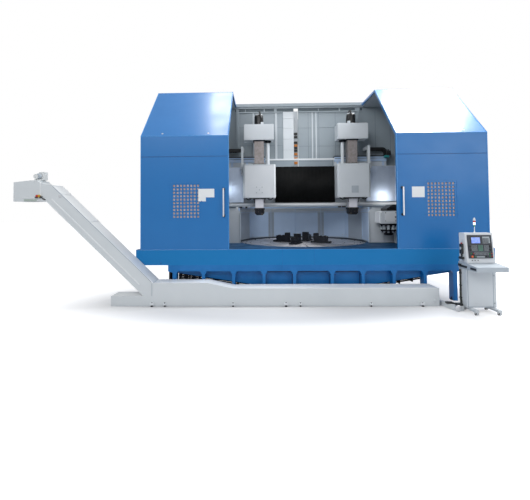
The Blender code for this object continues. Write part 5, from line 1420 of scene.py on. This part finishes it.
def make_conveyor_trim():
    x, (front, back), _ = spans("conveyor_trough")
    ends = (-1.70, x[1] - 0.002)
    rim = (TROUGH_TOP - 0.004, TROUGH_TOP + 0.008)
    # White tops and rims on the trough: painted light from above.
    piece("trough_tops_painted_light", "white_foil_and_painted_light", 0.002,
          blocks=[(ends, (front - 0.001, front + 0.03), rim),
                  (ends, (back - 0.03, back + 0.001), rim),
                  (ends, (front + 0.06, back - 0.06), (TROUGH_TOP - 0.001, TROUGH_TOP + 0.004))],
          drawn=[(TROUGH_RISE + [(a, b + 0.006) for a, b in reversed(TROUGH_RISE)], "Y",
                  front - 0.0005, back - 0.01)])
    piece("trough_joints", "inner_grey", blocks=on_front(
        front, (-3.590, -3.582, 0.225, 0.498, 0.0105), (x[0] + 0.10, x[1], 0.010, 0.014, 0.001)))
    piece("trough_anchors", "panel_white", 0.002,
          blocks=on_front(front, *[(at - size, at + size, 0.030, 0.045 + size * 0.8, 0.045)
                                   for at, size in ANCHORS]),
          drawn=[([(front - 0.045, 0.030), (front + 0.001, 0.030), (front + 0.001, 0.11)], "X",
                  at - size * 0.15, at + size * 0.15) for at, size in ANCHORS])
    # Anchor studs in blackened steel; under each plate they also stand in for its shadow, as
    # painted shade.
    piece("trough_anchor_feet", "black_steel", 0.001, rods=[
        ((at, front - 0.028, 0.001), (at, front - 0.028, top), size * share, sides)
        for at, size in ANCHORS for top, share, sides in ((0.090, 0.30, 12), (0.018, 0.60, 16))])
    piece("trough_drain_plug", "conveyor_grey", 0.003, rods=[
        ((x[1] - 0.10, front + near, 0.11), (x[1] - 0.10, front + far, 0.11), radius, sides)
        for near, far, radius, sides in ((0.001, -0.010, 0.030, 20), (-0.008, -0.016, 0.014, 6))])

    piece("incline_flanges", "facet_grey", 0.002, drawn=[
        incline_strip(0.012, 0.985, 0.0, 0.010, front - 0.008, front + 0.001),
        incline_strip(0.012, 0.985, 0.0, 0.010, back + 0.001, back + 0.008)])
    # The ribs are whiter than the housing: a painted highlight along them.
    piece("incline_ribs", "white_foil_and_painted_light", 0.004, drawn=[
        strip for near, far, thin in ((front - 0.012, front + 0.001, front - 0.006),
                                      (back + 0.012, back + 0.001, back + 0.006))
        for strip in (incline_strip(0.06, 0.93, 0.212, 0.240, near, far),
                      incline_strip(0.09, 0.95, 0.335, 0.348, thin, far))])
    # A white top on the incline: painted light from above.
    piece("incline_top_painted_light", "white_foil_and_painted_light", 0.002, drawn=[
        incline_strip(0.004, 0.985, -0.006, 0.004, front - 0.004, back + 0.004),
        *[incline_strip(share, share + 0.012, -0.011, -0.004, front + 0.02, back - 0.02)
          for share in (0.30, 0.62, 0.90)]])
    a, b = along_incline(0.90, 0.05)
    piece("incline_hinge", "bright_steel", 0.004,
          blocks=on_front(front, (a - 0.03, a + 0.03, b - 0.025, b + 0.025, 0.014)))
    spots = [along_incline(share, 0.335) for share in row(0.10, 0.94, 8)]
    bolt_on("incline_bolts", [((a, front - 0.006, b), FORWARD) for a, b in spots], 0.007,
            "conveyor_grey")


def make_discharge_trim():
    front = spans("conveyor_head")[1][0]
    piece("discharge_flanges", "white_foil_and_painted_light", 0.002, blocks=on_front(
        front, (-6.094, -6.078, 2.445, 2.73, 0.004), (-6.55, -6.205, 2.385, 2.398, 0.006)))
    piece("discharge_slot", "slot_green", 0.002, blocks=on_front(
        front, (-6.451, -6.165, 2.314, 2.362, 0.004)))
    bolt_on("discharge_bolts", spots_at((-6.42, -6.22), front, 2.74), 0.007, "conveyor_grey")
    piece("stop_switch_box", "button_yellow", 0.006, blocks=on_front(
        front, (-6.135, -6.078, 2.40, 2.455, 0.045)))
    piece("stop_switch_cap", "lamp_red", 0.003, rods=[
        ((-6.125, front - near, 2.428), (-6.125, front - far, 2.428), *radii)
        for near, far, radii in ((0.044, 0.060, (0.014, 16)), (0.058, 0.076, (0.026, 20, 0.022)))])
    piece("stop_switch_gland", "black_plastic", 0.003,
          blocks=on_front(front, (-6.085, -6.035, 2.385, 2.425, 0.030),
                          (-6.19, -6.135, 2.385, 2.415, 0.030)),
          pipes=[(smooth_path([(-6.045, front - 0.018, 2.40), (-6.01, front - 0.018, 2.365),
                               (-5.96, front - 0.012, 2.345)], 4), 0.012, 8)])

    motor = spans("conveyor_gearmotor")[1][0]
    at, level = GEARMOTOR_AXIS
    seat = Matrix.Translation((at, motor, level)) @ AXIS_TO_BACK
    # Laid out along Z and then tipped back, so that Z is the machine's Y and Y is down
    piece("conveyor_motor_cowl", "inner_grey", 0.003, place=seat,
          turned=[([(0.0, 0.004), (0.045, 0.004), (0.060, 0.02), (0.060, 0.06), (0.0, 0.06)],)],
          blocks=[((-0.035, 0.035), (level - 2.975, level - 2.93), (0.10, 0.18))])
    grow("conveyor_motor_fins", FINS, {"Count": 6, "Radius": 0.060, "Pitch": 0.018},
         "pale_plastic", place=seat @ Matrix.Translation((0, 0, 0.075)))


make_conveyor_trim()
make_discharge_trim()


# Operator console

CONSOLE_MIDDLE_X = 3.20
CONSOLE_FRONT_Y = -3.25
PANEL_HALF = 0.232
# Key fields: name, middle on the panel, columns, rows, pitch, key size and finish
KEY_FIELDS = (("letter_keys", (0.112, 0.350, 0), 5, 5, 0.0235, 0.012, "key_grey"),
              ("left_mode_keys", (-0.120, 0.200, 0), 5, 5, 0.0235, 0.011, "key_grey"),
              ("middle_mode_keys", (0.005, 0.200, 0), 4, 5, 0.0235, 0.013, "key_green"),
              ("right_mode_keys", (0.120, 0.200, 0), 4, 5, 0.0235, 0.011, "key_grey"),
              ("lower_keys", (0.010, 0.096, 0), 11, 3, 0.0255, 0.011, "key_grey"))
KNOBS = ((-0.196, 0.238, 0.021), (-0.196, 0.168, 0.016), (0.198, 0.238, 0.021),
         (0.198, 0.168, 0.018), (-0.146, 0.072, 0.012), (0.100, 0.044, 0.012))
BUTTONS = (("panel_red_lamps", "lamp_red", 0.011, ((-0.152, 0.094), (0.206, 0.094),
                                                   (0.206, 0.040))),
           ("panel_green_lamps", "lamp_green", 0.011, ((-0.196, 0.094), (0.164, 0.094),
                                                       (0.164, 0.040), (-0.120, 0.034))),
           ("stop_button", "button_orange", 0.022, ((-0.180, 0.034),)))
CASTER_X = (2.98, 3.42)
CASTER_Y = (-3.435, -3.025)
PENDANT_Y = -3.125
# The signal lamp's tiers: name, finish and turned outline above its foot
SIGNAL_TIERS = (
    ("signal_pole", "pale_plastic", [(0.0, 0.0), (0.024, 0.0), (0.024, 0.008), (0.009, 0.016),
                                     (0.007, 0.125), (0.0, 0.125)]),
    ("signal_tier_green", "lamp_green", [(0.0, 0.125), (0.012, 0.125), (0.015, 0.132),
                                         (0.015, 0.160), (0.0, 0.160)]),
    ("signal_tier_white", "lamp_opal", [(0.0, 0.161), (0.021, 0.161), (0.021, 0.215),
                                        (0.0, 0.215)]),
    ("signal_tier_red", "lamp_red", [(0.0, 0.216), (0.0235, 0.216), (0.0235, 0.247),
                                     (0.0, 0.247)]),
    ("signal_tip", "pale_plastic", [(0.0, 0.248), (0.0245, 0.248), (0.0245, 0.256),
                                    (0.016, 0.300), (0.0, 0.309)]))


def panel_place():
    """Turns flat work in X and Y into the leaning face of the operator panel."""
    points = [v.co for v in NODES["console_panel"].data.vertices]
    low = min(points, key=lambda p: (round(p.y, 4), p.z))
    high = min([p for p in points if p.z > max(q.z for q in points) - 0.006], key=lambda p: p.y)
    up = Vector((0, high.y - low.y, high.z - low.z)).normalized()
    out = Vector((0, -up.z, up.y))
    turn = Matrix(((1, 0, 0), (0, up.y, out.y), (0, up.z, out.z))).to_4x4()
    place = Matrix.Translation((CONSOLE_MIDDLE_X, low.y, low.z)) @ turn
    return place, (high - low).length


def make_panel_trim():
    """Display, key fields, knobs and lamps on the operator panel's face."""
    place, height = panel_place()
    half = PANEL_HALF

    def lay(name, finish, bevel=0.002, **parts):
        piece(name, finish, bevel, place=place, **parts)

    lay("panel_bezel", "panel_plastic", blocks=[
        *[(ends, (0.004, height - 0.004), (-0.001, 0.006))
          for ends in ((-half, -half + 0.014), (half - 0.014, half))],
        *[(about(0, half - 0.014), ends, (-0.001, 0.005))
          for ends in ((0.004, 0.016), (height - 0.018, height - 0.004), (0.262, 0.272))]])
    lay("display_frame", "black_plastic", 0.004, blocks=[
        ((-0.185, 0.030), (0.285, height - 0.028), (-0.001, 0.008))])
    lay("display_glass", "screen_glass", 0.001, blocks=[
        ((-0.168, 0.004), (0.298, height - 0.048), (0.005, 0.0095))])
    lay("display_lines", "display_pale", 0.0, blocks=[
        (ends, (level, level + 0.006), (0.009, 0.0101))
        for level in row(0.322, 0.400, 4) for ends in ((-0.145, -0.060), (-0.045, -0.005))])
    lay("panel_pale_fields", "key_grey", blocks=[
        ((0.056, 0.196), (0.402, 0.432), (-0.001, 0.007)),
        ((0.176, 0.200), (0.300, 0.398), (-0.001, 0.007)),
        ((-0.090, 0.070), (0.016, 0.040), (-0.001, 0.006))])
    for name, spot, columns, rows, pitch, key, finish in KEY_FIELDS:
        grow(name, KEYS,
             {"Columns": columns, "Rows": rows, "Pitch": pitch, "Key": key, "Rise": 0.014},
             finish, place=place @ Matrix.Translation(spot))
    lay("panel_knobs", "black_plastic", rods=[
        ((a, b, low), (a, b, high), *radii) for a, b, radius in KNOBS
        for low, high, radii in ((0, 0.006, (radius * 1.25, 24)),
                                 (0.005, 0.024, (radius, 20, radius * 0.85)))])
    for name, finish, radius, spots in BUTTONS:
        lay(name, finish, rods=[
            ((a, b, low), (a, b, high), *radii) for a, b in spots
            for low, high, radii in ((0, 0.012, (radius * 0.6, 16)),
                                     (0.010, 0.020, (radius, 20, radius * 0.85)))])
    switches = (-0.185, -0.130, -0.072)
    lay("head_key_switches", "black_plastic",
        rods=[((a, -0.040, -0.004), (a, -0.040, 0.012), 0.009, 14) for a in switches],
        blocks=[(about(a, 0.003), (-0.046, -0.034), (0.010, 0.020)) for a in switches])


def make_cabinet_trim():
    (left, right), (_, back), (_, top) = spans("console_cabinet")
    front = CONSOLE_FRONT_Y
    piece("cabinet_door", "machine_grey", 0.004, blocks=on_front(
        front, (left + 0.030, right - 0.065, 0.118, top - 0.02, 0.006)))
    piece("cabinet_door_gap", "facet_grey", blocks=on_front(
        front, (left + 0.018, right - 0.053, 0.106, top - 0.008, 0.002)))
    piece("cabinet_locks", "key_grey", 0.002,
          rods=[((right - 0.042, front + 0.001, level), (right - 0.042, front - 0.010, level),
                 0.014, 16) for level in (0.735, 0.185)],
          blocks=[((right - 0.045, right - 0.039), (front - 0.013, front - 0.009),
                   about(level, 0.01)) for level in (0.735, 0.185)])
    piece("cabinet_vents", "machine_grey", 0.001, blocks=[
        *[((right - 0.001, right + 0.004), (-3.20, -3.05), (level, level + 0.012))
          for level in row(0.30, 0.56, 7)],
        *[((right - 0.001, right + 0.003), ends, (0.13, 0.84))
          for ends in ((-3.235, -3.215), (-3.025, -3.005))],
        ((left + 0.03, right - 0.03), (back - 0.001, back + 0.006), (0.14, 0.82))])
    bolt_on("cabinet_back_screws",
            spots_at((left + 0.05, right - 0.05), back + 0.006, (0.18, 0.48, 0.78), BACKWARD),
            0.008, "black_steel")

    casters = [(a, b) for a in CASTER_X for b in CASTER_Y]
    piece("caster_forks", "bright_steel", 0.001,
          blocks=[(about(a + shift, 0.003), about(b, 0.020), (0.025, 0.056))
                  for a, b in casters for shift in (-0.026, 0.026)],
          rods=[((a - 0.032, b, 0.035), (a + 0.032, b, 0.035), 0.007, 12) for a, b in casters])
    piece("caster_tyres", "black_plastic", 0.002, rods=[
        ((a + shift - 0.004, b, 0.036), (a + shift + 0.004, b, 0.036), 0.0355, 24)
        for a, b in casters for shift in (-0.019, 0.019)])


def make_desk_trim():
    (left, right), (front, _), (low, _) = spans("console_desk")
    piece("desk_edges", "machine_grey", 0.003, pipes=[
        ([(at, front + 0.02, low + 0.090), (at, -3.26, 0.989)], 0.006, 8)
        for at in (left + 0.012, right - 0.012)])
    piece("desk_grips", "black_plastic", 0.005, blocks=[
        ((left - rise, left + 0.001), ends, levels)
        for rise, ends, levels in ((0.012, (-3.60, -3.42), (0.885, 0.925)),
                                   (0.012, (-3.30, -3.04), (0.888, 0.930)),
                                   (0.030, (-3.10, -3.02), (0.90, 0.95)))])

    side, middle = spans("console_head")[0][0], PENDANT_Y
    piece("pendant_holder", "machine_grey", 0.003, blocks=[
        ((side - 0.012, side + 0.001), (-3.16, -3.09), (1.02, 1.45))])
    piece("pendant_body", "black_plastic", 0.006,
          blocks=[((side - 0.050, side - 0.010), (-3.17, -3.08), (1.16, 1.36)),
                  ((side - 0.060, side - 0.010), (-3.19, -3.06), (1.05, 1.10))],
          rods=[((side - 0.030, middle, 1.165), (side - 0.030, middle, 1.08), 0.018, 14, 0.010)])
    piece("pendant_wheel", "bright_steel", 0.002, rods=[
        ((side - 0.048, middle, 1.27), (side - 0.062, middle, 1.27), 0.032, 24),
        ((side - 0.060, -3.150, 1.27), (side - 0.078, -3.150, 1.27), 0.006, 10)])
    piece("pendant_cap", "lamp_red", 0.002, rods=[
        ((side - 0.030, middle, 1.359), (side - 0.030, middle, 1.385), 0.013, 16)])


def make_floor_duct_trim():
    """Conduit down the cabinet's side, and the plugs, wheel and straps of the floor duct."""
    left = spans("console_cabinet")[0][0]
    route = smooth_path([(left - off, b, c) for off, b, c in (
        (0.020, -3.06, 0.84), (0.020, -3.06, 0.60), (0.020, -3.06, 0.30), (0.020, -3.08, 0.16),
        (0.040, -3.10, 0.115), (0.080, -3.10, 0.104))])
    piece("cabinet_conduit", "black_plastic", 0.001, pipes=[(route, 0.018, 12)], blocks=[
        ((left - 0.040, left + 0.001), (-3.085, -3.035), (level, level + 0.018))
        for level in (0.25, 0.50, 0.75)])
    piece("duct_connectors", "black_plastic", 0.006,
          blocks=[((2.66, 2.80), (-2.96, -2.88), (0.099, 0.135)),
                  ((2.78, 2.90), (-3.13, -3.04), (0.099, 0.150))],
          pipes=[([(2.77, -2.95, 0.118), (2.82, -3.02, 0.120), (2.83, -3.06, 0.120)], 0.016)])
    piece("duct_wheel", "bright_steel",
          place=Matrix.Translation((2.77, -3.165, 0.067)) @ AXIS_TO_BACK.inverted(),
          turned=[([(0.0, 0.0), (0.060, 0.0), (0.066, 0.006), (0.066, 0.030), (0.056, 0.036),
                    (0.020, 0.036), (0.016, 0.044), (0.0, 0.044)], (0, 0, 0), 28)])
    straps = [Vector((2.6103, -2.40)).lerp(Vector((2.83, -3.07)), share)
              for share in (0.18, 0.50, 0.80)]
    piece("duct_lid_straps", "bright_steel", 0.001, blocks=[
        (about(at.x, 0.085), about(at.y, 0.014), (0.0995, 0.103)) for at in straps])


def make_signal_lamp():
    """The stacked lamp in its tiers, on a thin pole; it stands where the plain one stood."""
    x, y, z = spans("signal_lamp")
    made = [piece(name, finish, 0.001, turned=[(outline, (sum(x) / 2, sum(y) / 2, z[0]))])
            for name, finish, outline in SIGNAL_TIERS]
    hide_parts("signal_lamp")


make_panel_trim()
make_cabinet_trim()
make_desk_trim()
make_floor_duct_trim()
make_signal_lamp()


# Floor, backdrop, light and camera

FLOOR_HALF = 60.0
FLOOR_Z = -0.002
# The floor's own glow fades in from the machine's shadow, an oval of 5.9 by 2.5 m, outwards
FLOOR_OVAL_PLACE = (0.9 / 5.9, 2.6 / 2.5, 0.0)
FLOOR_OVAL_SCALE = (1 / 5.9, 1 / 2.5, 1.0)
FLOOR_NEAR = 0.40
FLOOR_GLOW = 0.78
WORLD_LOW = 0.32
WORLD_HIGH = 0.60


def make_floor():
    """A pale floor: white to the camera and in reflections, with the machine's own shadow."""
    shape = bmesh.new()
    bmesh.ops.create_grid(shape, x_segments=1, y_segments=1, size=FLOOR_HALF)
    mesh = bpy.data.meshes.new("studio_floor")
    shape.to_mesh(mesh)
    shape.free()
    floor = bpy.data.objects.new("studio_floor", mesh)
    floor.location.z = FLOOR_Z
    bpy.context.scene.collection.objects.link(floor)
    made, tree, shader = new_finish("Studio floor, matt paint", 0.85)
    place = mottle(tree, shader, "C6C7C9", "C2C3C5", 2500, 0.3)[0]
    ray = add(tree, "ShaderNodeLightPath")
    seen = add(tree, "ShaderNodeMath", {0: ray.outputs["Is Camera Ray"],
                                        1: ray.outputs["Is Glossy Ray"]}, operation="MAXIMUM")
    oval = add(tree, "ShaderNodeMapping",
               {"Vector": place, "Location": FLOOR_OVAL_PLACE, "Scale": FLOOR_OVAL_SCALE})
    away = add(tree, "ShaderNodeVectorMath", {0: oval}, operation="LENGTH")
    fade = add(tree, "ShaderNodeMapRange",
               {"Value": away.outputs["Value"], "From Min": FLOOR_NEAR, "From Max": 1.0,
                "To Min": 0.0, "To Max": FLOOR_GLOW}, interpolation_type="SMOOTHSTEP")
    glow = add(tree, "ShaderNodeMath", {0: seen, 1: fade}, operation="MULTIPLY")
    shader.inputs["Emission Color"].default_value = (1, 1, 1, 1)
    tree.links.new(glow.outputs["Value"], shader.inputs["Emission Strength"])
    mesh.materials.append(made)


def make_world():
    """Soft light that is stronger from above; the camera and reflections see plain white."""
    world = bpy.data.worlds.new("Studio")
    bpy.context.scene.world = world
    world.use_nodes = True
    tree = world.node_tree
    tree.nodes.clear()
    place = add(tree, "ShaderNodeTexCoord").outputs["Generated"]
    parts = add(tree, "ShaderNodeSeparateXYZ", {"Vector": place})
    level = add(tree, "ShaderNodeMapRange",
                {"Value": parts.outputs["Z"], "From Min": -0.1, "From Max": 0.9,
                 "To Min": WORLD_LOW, "To Max": WORLD_HIGH})
    rays = add(tree, "ShaderNodeLightPath").outputs
    seen = rays["Is Camera Ray"]
    for kind in ("Is Transmission Ray", "Is Glossy Ray"):
        seen = add(tree, "ShaderNodeMath", {0: seen, 1: rays[kind]}, operation="MAXIMUM")
    lit = add(tree, "ShaderNodeBackground", {"Color": (0.93, 0.96, 1.0, 1.0), "Strength": level})
    white = add(tree, "ShaderNodeBackground", {"Color": (1, 1, 1, 1), "Strength": 1.0})
    mix = add(tree, "ShaderNodeMixShader", {0: seen, 1: lit, 2: white})
    add(tree, "ShaderNodeOutputWorld", {"Surface": mix})


def make_lamp(name, place, aim, size, watts, colour=(1.0, 1.0, 1.0)):
    light = bpy.data.lights.new(name, "AREA")
    light.shape = "RECTANGLE"
    light.size, light.size_y = size
    light.energy = watts
    light.color = colour
    lamp = bpy.data.objects.new(name, light)
    lamp.location = place
    lamp.rotation_euler = (Vector(aim) - Vector(place)).to_track_quat("-Z", "Y").to_euler()
    bpy.context.scene.collection.objects.link(lamp)


def make_camera():
    data = bpy.data.cameras.new("photo_camera")
    data.sensor_width = SENSOR_MM
    data.lens = FOCAL_PX / IMAGE_WIDTH * SENSOR_MM
    data.shift_x = (IMAGE_WIDTH / 2 - CENTRE_PX[0]) / IMAGE_WIDTH
    data.shift_y = (CENTRE_PX[1] - IMAGE_HEIGHT / 2) / IMAGE_WIDTH
    camera = bpy.data.objects.new("photo_camera", data)
    turn = (Matrix.Rotation(math.radians(CAMERA_YAW_DEG), 4, "Z")
            @ Matrix.Rotation(math.radians(90 + CAMERA_PITCH_DEG), 4, "X")
            @ Matrix.Rotation(math.radians(CAMERA_ROLL_DEG), 4, "Z"))
    camera.matrix_world = Matrix.Translation(CAMERA_PLACE) @ turn
    bpy.context.scene.collection.objects.link(camera)
    bpy.context.scene.camera = camera


make_floor()
make_world()
make_lamp("key_lamp", (-5.0, -10.0, 8.0), (0.0, 0.0, 2.5), (6.0, 4.0), 380)
make_lamp("fill_lamp", (6.5, -9.0, 5.0), (0.0, 0.0, 2.5), (5.0, 4.0), 150)
make_lamp("doorway_lamp", (0.0, -3.4, 5.8), (0.0, 0.2, 2.6), (3.0, 0.6), 32)
make_lamp("left_sheen_lamp", (-2.65, -0.45, 9.5), (-2.65, -0.45, 0.0), (0.9, 2.2), 105)
make_lamp("right_sheen_lamp", (5.1, -0.45, 9.5), (5.1, -0.45, 0.0), (2.6, 2.4), 1150)
make_lamp("right_work_lamp", (2.62, -0.45, 2.48), (2.50, 0.2, 2.40), (0.30, 0.30), 2.4)
make_lamp("left_work_lamp", (-2.20, -0.38, 2.75), (-1.95, 0.1, 2.10), (0.4, 0.2), 1.5,
          (0.86, 0.93, 1.0))
make_camera()
bpy.context.scene.view_settings.view_transform = "Standard"
